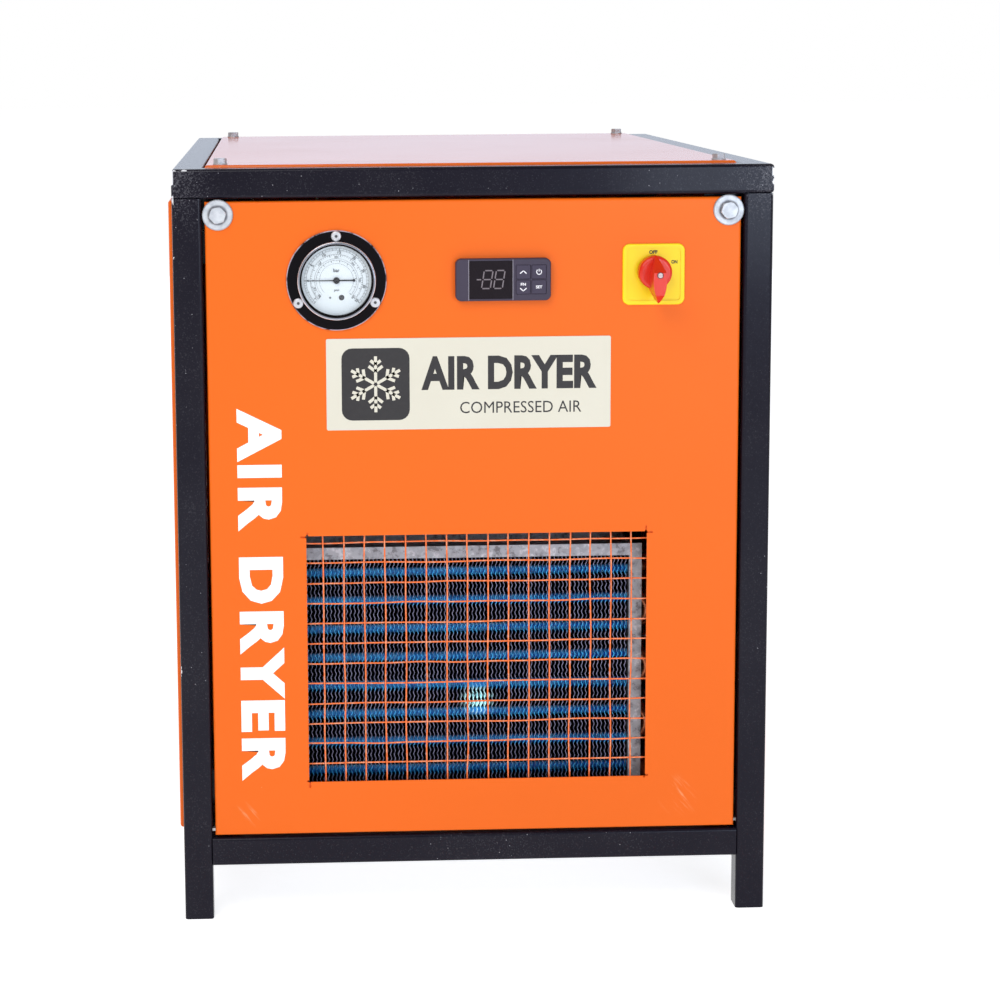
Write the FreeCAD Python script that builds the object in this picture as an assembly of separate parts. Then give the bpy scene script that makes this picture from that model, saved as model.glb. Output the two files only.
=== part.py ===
"""Refrigerated compressed-air dryer, cabinet type.

A welded square-tube frame carries five sheet panels.  The front panel holds a refrigerant gauge,
a digital controller, a rotary isolator switch and a meshed window in front of the condenser.
Inside are condenser, fan, hermetic compressor, insulated heat exchanger, water separator, drain
valve, filter drier, refrigerant lines and an electrical box.

Millimetres.  X runs to the right, Y to the back, Z up.  The origin is the centre of the bottom of
the whole machine's box: the sockets behind end as far out as the switch knob does in front.
"""
import FreeCAD, Part

import math
import os

# ---- frame ---------------------------------------------------------------------------------------
FRAME_W = 510.0          # outside width of the tube frame
FRAME_D = 750.0          # outside depth
FRAME_H = 655.0          # outside height, legs included
TUBE = 25.0              # side of the square tube
TUBE_WALL = 2.0
TUBE_CORNER = 3.0        # outside corner radius of the tube
LEG_H = 48.0             # floor to the underside of the bottom rails

# ---- panels --------------------------------------------------------------------------------------
PANEL_T = 1.5            # sheet thickness
PANEL_GAP = 2.6          # gap between panel edge and tube, all round
PANEL_FLANGE = 20.0      # depth of the folded edges
PANEL_BEND = 2.5         # outside bend radius
CORNER_RELIEF = 3.0      # square notch between two flanges
FRONT_PROUD = 0.0        # how far each panel stands out of its opening
SIDE_PROUD = 4.0
TOP_PROUD = 2.0
REAR_PROUD = 0.0
TRAY_T = 2.0             # base tray sheet
TRAY_LAP = 6.0           # seat of the base tray on the side rails
TRAY_SHORT = 5.0         # tray stops short of the front and rear rails, behind the hooks
HOOK_W = 20.0            # hooks that hang the front and rear panels on the bottom rails
HOOK_DROP = 12.0
HOOK_CLEAR = 0.8

# ---- fasteners -----------------------------------------------------------------------------------
BOLT_R, BOLT_AF, BOLT_HEAD = 4.0, 13.0, 5.3              # M8 corner bolts
WASHER_R, WASHER_T = 13.0, 2.0                           # wide washers under them
TOP_BOLT_R, TOP_BOLT_AF, TOP_BOLT_HEAD = 3.0, 10.0, 4.0  # M6 top bolts
TOP_WASHER_R, TOP_WASHER_T = 6.2, 1.2
SIDE_SCREW_R, SIDE_HEAD_R, SIDE_HEAD_T = 3.0, 6.0, 3.0   # M6 countersunk, flush with the panel
BOLT_INSET = 11.0        # bolt centre from the panel's edges
TOP_BOLT_INSET = 13.0
SIDE_SCREW_DROP = 40.0   # side screws from the panel's top and bottom edges
SHANK_PAST = 6.0         # how far a shank runs past the panel into its boss
HOLE_CLEAR = 0.5         # radial clearance of a bolt hole
THREAD_CLEAR = 0.05      # radial clearance of a thread in its boss
BOSS_R = 7.0             # threaded boss welded on each fixing tab
TAB_T = 3.0
TAB_LAP = 4.5            # tab overlap on the tube, short of the panel flanges
TAB_REACH = 30.0         # tab inwards from the tube
TAB_H = 27.0

# ---- front fittings: centres on the front panel ---------------------------------------------------
GAUGE_X, GAUGE_Z = -116.9, 560.2
GAUGE_FLANGE_R = 42.5    # 63 mm panel gauge with an 85 mm front flange
GAUGE_FLANGE_T = 2.5
GAUGE_CASE_R, GAUGE_CASE_WALL, GAUGE_CASE_DEPTH = 31.2, 1.2, 28.0
GAUGE_BEZEL_R = GAUGE_CASE_R + 2.0
GAUGE_BEZEL_H, GAUGE_BEZEL_LIP, GAUGE_BEZEL_T = 6.5, 3.4, 1.4
GAUGE_DIAL_R = GAUGE_CASE_R - GAUGE_CASE_WALL - 0.4      # dial drops into the case
GAUGE_GLASS_T, GAUGE_DIAL_T = 1.8, 0.8
GAUGE_SCREW_PCD_R, GAUGE_SCREW_R, GAUGE_SCREW_HEAD_R = 37.6, 1.75, 4.3
GAUGE_STEM_R, GAUGE_STEM_L, GAUGE_STEM_BORE_R = 7.0, 17.0, 2.0
GAUGE_TUBE_R = 2.4                                       # the gauge's curved pressure tube
GAUGE_TUBE_BEND_R = GAUGE_CASE_R - GAUGE_CASE_WALL - GAUGE_TUBE_R - 6.6
NEEDLE_TIP, NEEDLE_TAIL = GAUGE_DIAL_R - 3.1, GAUGE_DIAL_R / 2
NEEDLE_T, NEEDLE_W, NEEDLE_POINT = 0.5, 1.1, 0.15        # point: half width at the tip
NEEDLE_HUB_R, NEEDLE_SPINDLE_R = 2.8, 0.8
ADJUSTER_R, ADJUSTER_X, ADJUSTER_Z = 2.2, 4.2, -14.6     # dial's zero adjuster, from the dial's centre
STOP_PIN_R, STOP_PIN_X = 0.8, -5.5

CTRL_X, CTRL_Z = 24.2, 559.7
CTRL_W, CTRL_H, CTRL_PROUD, CTRL_CORNER = 81.0, 36.0, 7.0, 5.0
CTRL_CUT_W, CTRL_CUT_H, CTRL_DEPTH = 71.0, 29.0, 58.0    # panel cut-out and case depth behind it
CTRL_LENS_X0, CTRL_LENS_X1, CTRL_LENS_H, CTRL_LENS_T = -29.2, 8.0, 32.4, 2.0
KEY_W, KEY_H, KEY_PITCH_X, KEY_PITCH_Z = 12.2, 11.8, 13.4, 12.8
KEY_MID_X, KEY_GAP, KEY_T, KEY_FLOOR = 23.6, 0.25, 3.6, 1.2

SWITCH_X, SWITCH_Z = 152.7, 562.5
SWITCH_W, SWITCH_H, SWITCH_CORNER = 53.0, 52.0, 6.0
SWITCH_T, SWITCH_RIM, SWITCH_RIM_H = 2.6, 3.6, 0.9
SWITCH_AXIS_UP = 2.3     # knob axis above the plate's centre
SWITCH_BODY, SWITCH_BODY_DEPTH, SWITCH_NECK_R = 45.0, 52.0, 9.0
KNOB_R, KNOB_BASE_H, KNOB_H = 14.2, 12.0, 37.5
KNOB_UP, KNOB_DOWN, KNOB_HALF_W = 14.8, 24.4, 5.6        # grip: reach above and below the axis
KNOB_TOP_UP, KNOB_TOP_DOWN, KNOB_NOSE_DROP = 2.0, 17.0, 9.0   # flat top's ends; drop of the nose
KNOB_GAP, KNOB_SHAFT_R, SHAFT_CLEAR = 0.4, 4.0, 0.06
CAP_R, CAP_T = 2.6, 0.6
PLATE_W, PLATE_H, PLATE_X, PLATE_Z, PLATE_T = 243.0, 78.5, -4.9, 471.1, 0.6

# ---- window and mesh -----------------------------------------------------------------------------
WINDOW_W, WINDOW_H, WINDOW_X, WINDOW_Z = 294.0, 218.0, 1.9, 231.1
SAW_W, SAW_L = 1.6, 5.0                                  # saw over-cuts at the window's corners
STRIP_W, STRIP_T = 12.0, 3.0                             # flat strips that hold the mesh
WIRE_R, MESH_PITCH = 0.8, 17.8
MESH_SHIFT_X, MESH_SHIFT_Z = 0.85, 3.9                   # mesh pattern from the window's centre

# ---- condenser and fan ---------------------------------------------------------------------------
COND_BACK = TUBE + 1.0   # condenser face behind the frame's front
COND_RIGHT = 137.3       # right end of the fins
COND_FIN_L = 330.0
COND_ROWS, COND_BANKS, COND_PITCH, COND_BANK_PITCH = 9, 3, 25.4, 22.0
COND_TUBE_R, COND_TUBE_WALL = 4.76, 0.8
COND_SHEET, COND_LIP_Z, COND_LIP_X = 1.2, 10.5, 11.0
FIN_CLEAR = 0.3
FIN_COUNT, FIN_T = 24, 0.8
FAN_R, FAN_TIP_CLEAR, FAN_BLADES, FAN_HUB_R, FAN_HUB_L = 105.0, 4.0, 5, 24.0, 22.0
SHROUD_D, SHROUD_T = 26.0, 1.2
BLADE_T, BLADE_CHORD, BLADE_TILT = 1.6, 74.0, 24.0
FAN_SHAFT_R, FAN_SHAFT_IN = 4.0, 24.0
MOTOR_R, MOTOR_L, MOTOR_GAP, MOTOR_LEG = 43.0, 66.0, 4.0, 5.0

# ---- refrigeration and air side ------------------------------------------------------------------
COMP_X, COMP_Y, COMP_R, COMP_H, COMP_WALL = -100.0, 40.0, 80.0, 190.0, 3.0
COMP_FOOT_SPAN, COMP_FOOT_T, GROMMET_R, GROMMET_H, STUD_R = 170.0, 4.0, 14.0, 18.0, 4.0
HX_X0, HX_X1, HX_Y0, HX_Y1, HX_Z0, HX_Z1 = 40.0, 205.0, 40.0, 260.0, 150.0, 470.0
HX_JACKET = 15.0
SEP_X, SEP_Y, SEP_R, SEP_Z0, SEP_Z1 = -15.0, 190.0, 34.0, 150.0, 320.0
DRIER_X, DRIER_Y, DRIER_Z, DRIER_R, DRIER_L = -205.0, -190.0, 150.0, 13.0, 110.0
EBOX = (-215.0, -85.0, 160.0, 320.0, 400.0, 560.0)       # electrical box: x, y and z limits
LINE_R, LINE_WALL = 4.76, 0.8
CAP_TUBE_R, COIL_R, COIL_TURNS = 1.3, 32.0, 5
PORT_BORE_R, PORT_R, PORT_SOCKET_R, PORT_SOCKET_L = 12.06, 13.4, 18.0, 36.0   # G 3/4 sockets
PORT_Z, PORT_X, PORT_SPACING = 420.0, 122.0, 90.0
PORT_CLEAR = 1.0
DRAIN_X, DRAIN_Z, DRAIN_BORE_R = SEP_X, 110.0, 3.0
DRAIN_NECK_R, DRAIN_FLANGE_R, DRAIN_FLANGE_T = 7.5, 11.0, 5.0    # bulkhead fitting
SPIGOT_R, SPIGOT_L, SPIGOT_TIP = 5.0, 20.0, 1.0          # plain hose spigot with a coned tip
GLAND_X, GLAND_Z, GLAND_R, GLAND_BORE_R, GLAND_OUT = -165.0, 120.0, 13.0, 5.2, 22.0
GLAND_THREAD_R, GLAND_NUT_T = 10.0, 5.0
REAR_HOLE_CLEAR = 0.25   # round the drain fitting's neck and the gland's thread
LOUVRE_W, LOUVRE_RISE, LOUVRE_OUT, LOUVRE_PITCH = 78.0, 14.0, 6.0, 22.0
LOUVRE_COLS, LOUVRE_ROWS, LOUVRE_X_PITCH, LOUVRE_Z0 = 4, 8, 96.0, 170.0

# ---- worked-out levels and faces -----------------------------------------------------------------
Y_FRONT, Y_REAR = -FRAME_D / 2, FRAME_D / 2
X_SIDE = FRAME_W / 2
Z_RAIL = LEG_H + TUBE                    # top of the bottom rails
Z_OPEN = FRAME_H - TUBE                  # underside of the top rails
X_IN, Y_IN = X_SIDE - TUBE, Y_REAR - TUBE
Z_FLOOR = Z_RAIL + TRAY_T                # top of the base tray
PANEL_W, PANEL_H = 2 * (X_IN - PANEL_GAP), Z_OPEN - Z_RAIL - 2 * PANEL_GAP
PANEL_Z = (Z_OPEN + Z_RAIL) / 2
SIDE_W, TOP_W = 2 * (Y_IN - PANEL_GAP), 2 * (X_IN - PANEL_GAP)
KNOB_REACH = SWITCH_T + KNOB_GAP + KNOB_H + CAP_T
PORT_REACH = KNOB_REACH

V = FreeCAD.Vector
X, Y, Z = V(1, 0, 0), V(0, 1, 0), V(0, 0, 1)
nodes = {}


# ---- shape helpers -------------------------------------------------------------------------------
def box(x0, x1, y0, y1, z0, z1):
    return Part.makeBox(x1 - x0, y1 - y0, z1 - z0, V(x0, y0, z0))


def rod(r, start, end):
    """Cylinder of radius r from one point to another."""
    along = end - start
    return Part.makeCylinder(r, along.Length, start, along)


def ring(r_out, r_in, start, end):
    over = (end - start).normalize()
    return rod(r_out, start, end).cut(rod(r_in, start - over, end + over))


def fused(first, *rest):
    return first.multiFuse(list(rest)).removeSplitter() if rest else first


def group(*shapes):
    return Part.makeCompound([s for shape in shapes for s in shape.Solids])


def moved(shape, x=0.0, y=0.0, z=0.0):
    out = shape.copy()
    out.translate(V(x, y, z))
    return out


def turned(shape, axis, degrees, centre=V(0, 0, 0)):
    out = shape.copy()
    out.rotate(centre, axis, degrees)
    return out


def mirrored(shape, normal):
    return shape.mirror(V(0, 0, 0), normal)


def slab(w, h, r, z0, z1, x=0.0, y=0.0):
    """Plate w by h with corner radius r, centred at (x, y), from z0 to z1."""
    block = moved(Part.makeBox(w, h, z1 - z0), x - w / 2, y - h / 2, z0)
    if r <= 0:
        return block
    upright = [e for e in block.Edges if abs(e.tangentAt(e.FirstParameter).z) > 0.99]
    return block.makeFillet(r, upright)


def edges_at(shape, z, tol=1e-4):
    """Edges that lie wholly at height z."""
    found = [e for e in shape.Edges if abs(e.BoundBox.ZMin - z) < tol and abs(e.BoundBox.ZMax - z) < tol]
    return found


def prism(points, direction):
    """Solid that a closed outline of points sweeps along a direction."""
    return Part.Face(Part.makePolygon(points + points[:1])).extrude(direction)


def front(shape, x, z, y=Y_FRONT):
    """Place a shape drawn as seen from the front, its z axis pointing out of the panel."""
    return moved(turned(shape, X, 90), x, y, z)


def rear(shape, x, z, y=Y_REAR):
    """The same for the back of the machine; x is still the machine's own x."""
    return moved(turned(turned(shape, X, 90), Z, 180), x, y, z)


def pipe(points, r, wall, bend):
    """Tube through points: straight runs joined by tangent arcs of one bend radius."""
    edges, start = [], points[0]
    for before, corner, after in zip(points, points[1:], points[2:]):
        a, b = (before - corner).normalize(), (after - corner).normalize()
        turn = math.pi - a.getAngle(b)
        cut = bend * math.tan(turn / 2)
        p, q = corner + a * cut, corner + b * cut
        bisector = (a + b).normalize()
        centre = corner + bisector * (bend / math.cos(turn / 2))
        edges += [Part.LineSegment(start, p).toShape(), Part.Arc(p, centre - bisector * bend, q).toShape()]
        start = q
    edges.append(Part.LineSegment(start, points[-1]).toShape())
    path = Part.Wire(edges)

    def swept(radius):
        section = Part.Wire(Part.makeCircle(radius, points[0], points[1] - points[0]))
        return path.makePipeShell([section], True, False)

    return swept(r).cut(swept(r - wall))


def hex_bolt(r, across, head, shank, washer_r=0.0, washer_t=0.0):
    """Hex bolt and optional washer as separate solids; z = 0 is the clamped surface."""
    corner = across / math.sqrt(3)
    outline = [V(corner * math.cos(a), corner * math.sin(a), washer_t)
               for a in (math.radians(60 * i + 12) for i in range(6))]
    blank = prism(outline, V(0, 0, head))
    dome = Part.makeCylinder(corner, head, V(0, 0, washer_t))
    dome = dome.makeChamfer(0.14 * head, edges_at(dome, washer_t + head))
    bolt = fused(blank.common(dome), rod(r, V(0, 0, washer_t), V(0, 0, -shank)))
    if not washer_t:
        return [bolt]
    washer = ring(washer_r, r + THREAD_CLEAR, V(0, 0, 0), V(0, 0, washer_t))
    rim = [e for e in edges_at(washer, washer_t) if e.Curve.Radius > r + 1]
    return [bolt, washer.makeChamfer(washer_t * 0.3, rim)]


# ---- frame ---------------------------------------------------------------------------------------
def square_tube(length):
    """Square tube along z, centred on its axis."""
    inner = max(TUBE_CORNER - TUBE_WALL, 0.2)
    solid = slab(TUBE, TUBE, TUBE_CORNER, 0, length)
    return solid.cut(slab(TUBE - 2 * TUBE_WALL, TUBE - 2 * TUBE_WALL, inner, -1, length + 1))


def make_frame():
    half = TUBE / 2
    xc, yc = X_SIDE - half, Y_REAR - half
    zb, zt = Z_RAIL - half, FRAME_H - half
    for name, x, y in (("front_left_post", -xc, -yc), ("front_right_post", xc, -yc),
                       ("rear_left_post", -xc, yc), ("rear_right_post", xc, yc)):
        nodes[name] = moved(square_tube(Z_OPEN), x, y)
    across = turned(square_tube(FRAME_W), Y, 90)
    along = turned(square_tube(FRAME_D), X, -90)
    mitre_x = prism([V(-X_SIDE, Y_FRONT, Z_OPEN), V(X_SIDE, Y_FRONT, Z_OPEN),
                     V(X_IN, -Y_IN, Z_OPEN), V(-X_IN, -Y_IN, Z_OPEN)], V(0, 0, TUBE))
    mitre_y = prism([V(-X_SIDE, Y_FRONT, Z_OPEN), V(-X_IN, -Y_IN, Z_OPEN),
                     V(-X_IN, Y_IN, Z_OPEN), V(-X_SIDE, Y_REAR, Z_OPEN)], V(0, 0, TUBE))
    nodes["top_front_rail"] = moved(across, -X_SIDE, -yc, zt).common(mitre_x)
    nodes["top_rear_rail"] = mirrored(nodes["top_front_rail"], Y)
    nodes["top_left_rail"] = moved(along, -xc, Y_FRONT, zt).common(mitre_y)
    nodes["top_right_rail"] = mirrored(nodes["top_left_rail"], X)
    short = turned(square_tube(2 * X_IN), Y, 90)
    long = turned(square_tube(2 * Y_IN), X, -90)
    nodes["bottom_front_rail"] = moved(short, -X_IN, -yc, zb)
    nodes["bottom_rear_rail"] = moved(short, -X_IN, yc, zb)
    nodes["bottom_left_rail"] = moved(long, -xc, -Y_IN, zb)
    nodes["bottom_right_rail"] = moved(long, xc, -Y_IN, zb)


def corner_bolt_places():
    """Bolt centres (x, z) at the top corners of the front and rear panels."""
    x = PANEL_W / 2 - BOLT_INSET
    return [(side * x, Z_OPEN - PANEL_GAP - BOLT_INSET) for side in (-1, 1)]


def top_bolt_places():
    x, y = TOP_W / 2 - TOP_BOLT_INSET, SIDE_W / 2 - TOP_BOLT_INSET
    return [(sx * x, sy * y) for sx in (-1, 1) for sy in (-1, 1)]


def side_screw_places():
    y = SIDE_W / 2 - BOLT_INSET
    low, high = Z_RAIL + PANEL_GAP + SIDE_SCREW_DROP, Z_OPEN - PANEL_GAP - SIDE_SCREW_DROP
    return [(sy * y, z) for sy in (-1, 1) for z in (low, high)]


def make_tabs():
    """Steel tabs with threaded bosses where each panel is bolted, and the exchanger's two stands."""
    tabs = []

    def boss(start, end, r):
        return rod(BOSS_R, start, end), rod(r + THREAD_CLEAR, start - (end - start), end + (end - start))

    for x, z in corner_bolt_places():
        sx = 1 if x > 0 else -1
        x0, x1 = sorted((sx * (X_IN + TAB_LAP), sx * (X_IN - TAB_REACH)))
        plate = box(x0, x1, -Y_IN, -Y_IN + TAB_T, Z_OPEN - TAB_H, Z_OPEN)
        body, hole = boss(V(x, -Y_IN, z), V(x, Y_FRONT + PANEL_T - FRONT_PROUD, z), BOLT_R)
        tab = fused(plate, body).cut(hole)
        tabs += [tab, mirrored(tab, Y)]
    for x, y in top_bolt_places():
        sx, sy = (1 if x > 0 else -1), (1 if y > 0 else -1)
        x0, x1 = sorted((sx * (X_IN + TAB_LAP), sx * (X_IN - TAB_REACH)))
        y0, y1 = sorted((sy * (Y_IN - TAB_T), sy * (Y_IN - TAB_REACH)))
        plate = box(x0, x1, y0, y1, Z_OPEN - TAB_T, Z_OPEN)
        body, hole = boss(V(x, y, Z_OPEN), V(x, y, FRAME_H + TOP_PROUD - PANEL_T), TOP_BOLT_R)
        tabs.append(fused(plate, body).cut(hole))
    for y, z in side_screw_places():
        sy = 1 if y > 0 else -1
        y0, y1 = sorted((sy * (Y_IN + TAB_LAP), sy * (Y_IN - TAB_REACH)))
        plate = box(-X_IN, -X_IN + TAB_T, y0, y1, z - TAB_H / 2, z + TAB_H / 2)
        body, hole = boss(V(-X_IN, y, z), V(-X_SIDE - SIDE_PROUD + PANEL_T, y, z), SIDE_SCREW_R)
        sink = Part.makeCone(SIDE_HEAD_R, SIDE_HEAD_R - SIDE_HEAD_T, SIDE_HEAD_T,
                             V(-X_SIDE - SIDE_PROUD, y, z), X)
        tab = fused(plate, body).cut(hole).cut(sink)
        tabs += [tab, mirrored(tab, X)]
    for x in (HX_X0 + 25, HX_X1 - 25):
        tabs.append(box(x - TAB_T, x + TAB_T, HX_Y0 + 20, HX_Y1 - 20, Z_FLOOR, HX_Z0))
    nodes["welded_brackets"] = group(*tabs)


def make_base_tray():
    """Sheet floor that rests on the side rails, with mounting holes for the compressor."""
    x, y = X_IN + TRAY_LAP, Y_IN - TRAY_SHORT
    tray = box(-x, x, -y, y, Z_RAIL, Z_FLOOR)
    for dx, dy in compressor_feet():
        foot = V(COMP_X + dx, COMP_Y + dy, Z_RAIL)
        tray = tray.cut(rod(STUD_R + HOLE_CLEAR, foot - Z, foot + Z * (TRAY_T + 1)))
    nodes["base_tray"] = tray


# ---- panels --------------------------------------------------------------------------------------
def tray_panel(w, h):
    """Folded sheet panel, seen from outside: face at z = 0, flanges towards -z, open behind."""
    outer = slab(w, h, 0, -PANEL_FLANGE, 0)
    outer = outer.makeFillet(PANEL_BEND, edges_at(outer, 0))
    inner = slab(w - 2 * PANEL_T, h - 2 * PANEL_T, 0, -PANEL_FLANGE - 1, -PANEL_T)
    inner = inner.makeFillet(PANEL_BEND - PANEL_T, edges_at(inner, -PANEL_T))
    panel = outer.cut(inner)
    for sx in (-1, 1):
        for sy in (-1, 1):
            panel = panel.cut(slab(2 * CORNER_RELIEF, 2 * CORNER_RELIEF, 0, -PANEL_FLANGE - 1,
                                   -PANEL_BEND - 0.5, sx * w / 2, sy * h / 2))
    return panel


def hooks(w, h):
    """Two tongues that drop behind the bottom rail."""
    made = []
    reach = TUBE + HOOK_CLEAR + FRONT_PROUD
    for sx in (-1, 1):
        x = sx * (w / 2 - HOOK_W / 2 - 2 * CORNER_RELIEF + 4.0)
        shelf = slab(HOOK_W, PANEL_T, 0, -reach - PANEL_T, -PANEL_FLANGE, x, -h / 2 + PANEL_T / 2)
        tongue = slab(HOOK_W, HOOK_DROP, 0, -reach - PANEL_T, -reach, x, -h / 2 + PANEL_T - HOOK_DROP / 2)
        made += [shelf, tongue]
    return made


def window_cut():
    """The sawn window, with the saw's over-cuts at its corners."""
    cut = slab(WINDOW_W, WINDOW_H, 0, -5, 5)
    hw, hh = WINDOW_W / 2, WINDOW_H / 2
    saw = []
    for sx, sy, across, up in ((1, 1, 1, 1), (-1, 1, 1, 0.6), (-1, -1, 0.4, 1), (1, -1, 0.5, 0.3)):
        saw.append(slab(2 * SAW_L * across, SAW_W, 0, -5, 5, sx * hw, sy * (hh - SAW_W / 2)))
        saw.append(slab(SAW_W, 2 * SAW_L * up, 0, -5, 5, sx * (hw - SAW_W / 2), sy * hh))
    return fused(cut, *saw)


def make_front_panel():
    panel = fused(tray_panel(PANEL_W, PANEL_H), *hooks(PANEL_W, PANEL_H))

    def through(shape, x, z):
        return moved(shape, x, z - PANEL_Z)

    cuts = [through(window_cut(), WINDOW_X, WINDOW_Z),
            through(rod(GAUGE_CASE_R + HOLE_CLEAR, V(0, 0, -5), V(0, 0, 5)), GAUGE_X, GAUGE_Z),
            through(slab(CTRL_CUT_W, CTRL_CUT_H, 0, -5, 5), CTRL_X, CTRL_Z),
            through(rod(SWITCH_NECK_R + HOLE_CLEAR, V(0, 0, -5), V(0, 0, 5)),
                    SWITCH_X, SWITCH_Z + SWITCH_AXIS_UP)]
    for x, z in gauge_screw_places():
        cuts.append(through(rod(GAUGE_SCREW_R + HOLE_CLEAR / 2, V(0, 0, -5), V(0, 0, 5)), x, z))
    for x, z in corner_bolt_places():
        cuts.append(through(rod(BOLT_R + HOLE_CLEAR, V(0, 0, -5), V(0, 0, 5)), x, z))
    for cut in cuts:
        panel = panel.cut(cut)
    nodes["front_panel"] = front(panel, 0, PANEL_Z, Y_FRONT - FRONT_PROUD)


def make_side_panels():
    panel = tray_panel(SIDE_W, PANEL_H)
    for y, z in side_screw_places():
        hole = rod(SIDE_SCREW_R + HOLE_CLEAR, V(y, z - PANEL_Z, -5), V(y, z - PANEL_Z, 5))
        cone = Part.makeCone(SIDE_HEAD_R - SIDE_HEAD_T, SIDE_HEAD_R, SIDE_HEAD_T,
                             V(y, z - PANEL_Z, -SIDE_HEAD_T))
        panel = panel.cut(hole).cut(cone)
    right = moved(turned(turned(panel, X, 90), Z, 90), X_SIDE + SIDE_PROUD, 0, PANEL_Z)
    nodes["right_side_panel"] = right
    nodes["left_side_panel"] = mirrored(right, X)


def make_top_panel():
    panel = tray_panel(TOP_W, SIDE_W)
    for x, y in top_bolt_places():
        panel = panel.cut(rod(TOP_BOLT_R + HOLE_CLEAR, V(x, y, -5), V(x, y, 5)))
    nodes["top_panel"] = moved(panel, 0, 0, FRAME_H + TOP_PROUD)


def louvre_parts():
    """One pressed louvre on a face at z = 0: the hood to add and the space to cut below it."""
    def wedge(w, rise, out, lift):
        side = [V(-w / 2, lift, -PANEL_T), V(-w / 2, lift, out), V(-w / 2, lift + rise, 0),
                V(-w / 2, lift + rise, -PANEL_T)]
        return prism(side, V(w, 0, 0))

    outer = wedge(LOUVRE_W, LOUVRE_RISE, LOUVRE_OUT, 0)
    inner = wedge(LOUVRE_W - 2 * PANEL_T, LOUVRE_RISE - 3.0, LOUVRE_OUT - PANEL_T, -0.5)
    mouth = LOUVRE_RISE - 2 * PANEL_T
    space = fused(inner, slab(LOUVRE_W - 2 * PANEL_T, mouth, 0, -PANEL_T - 1, 0, 0, mouth / 2))
    return outer, space


def port_places():
    return [(PORT_X + side * PORT_SPACING / 2, PORT_Z) for side in (-1, 1)]


def make_rear_panel():
    panel = fused(tray_panel(PANEL_W, PANEL_H), *hooks(PANEL_W, PANEL_H))
    hood, space = louvre_parts()
    hoods, spaces = [], []
    for col in range(LOUVRE_COLS):
        for row in range(LOUVRE_ROWS):
            x = (col - (LOUVRE_COLS - 1) / 2) * LOUVRE_X_PITCH
            y = LOUVRE_Z0 + row * LOUVRE_PITCH - PANEL_Z
            hoods.append(moved(hood, x, y))
            spaces.append(moved(space, x, y))
    panel = fused(panel, *hoods)
    holes = [(BOLT_R + HOLE_CLEAR, x, z) for x, z in corner_bolt_places()]
    holes += [(PORT_SOCKET_R + PORT_CLEAR, x, z) for x, z in port_places()]
    holes.append((DRAIN_NECK_R + REAR_HOLE_CLEAR, DRAIN_X, DRAIN_Z))
    holes.append((GLAND_THREAD_R + REAR_HOLE_CLEAR, GLAND_X, GLAND_Z))
    spaces += [rod(r, V(-x, z - PANEL_Z, -5), V(-x, z - PANEL_Z, 5)) for r, x, z in holes]
    panel = panel.cut(Part.makeCompound(spaces))
    nodes["rear_panel"] = rear(panel, 0, PANEL_Z, Y_REAR + REAR_PROUD)


def make_fasteners():
    shank = PANEL_T + SHANK_PAST
    corner, top, side = [], [], []
    for x, z in corner_bolt_places():
        for solid in hex_bolt(BOLT_R, BOLT_AF, BOLT_HEAD, shank, WASHER_R, WASHER_T):
            corner.append(front(solid, x, z, Y_FRONT - FRONT_PROUD))
            corner.append(rear(solid, x, z, Y_REAR + REAR_PROUD))
    nodes["corner_bolts"] = group(*corner)
    for x, y in top_bolt_places():
        for solid in hex_bolt(TOP_BOLT_R, TOP_BOLT_AF, TOP_BOLT_HEAD, shank, TOP_WASHER_R, TOP_WASHER_T):
            top.append(moved(solid, x, y, FRAME_H + TOP_PROUD))
    nodes["top_panel_bolts"] = group(*top)
    head = Part.makeCone(SIDE_HEAD_R - SIDE_HEAD_T - 0.2, SIDE_HEAD_R - 0.2, SIDE_HEAD_T,
                         V(0, 0, -SIDE_HEAD_T))
    screw = fused(head, rod(SIDE_SCREW_R, V(0, 0, -SIDE_HEAD_T + 1), V(0, 0, -SIDE_HEAD_T - SHANK_PAST)))
    screw = screw.cut(slab(2 * SIDE_HEAD_R, 1.2, 0, -1.2, 1))
    for y, z in side_screw_places():
        right = moved(turned(turned(screw, X, 90), Z, 90), X_SIDE + SIDE_PROUD, y, z)
        side += [right, mirrored(right, X)]
    nodes["side_panel_screws"] = group(*side)


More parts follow.
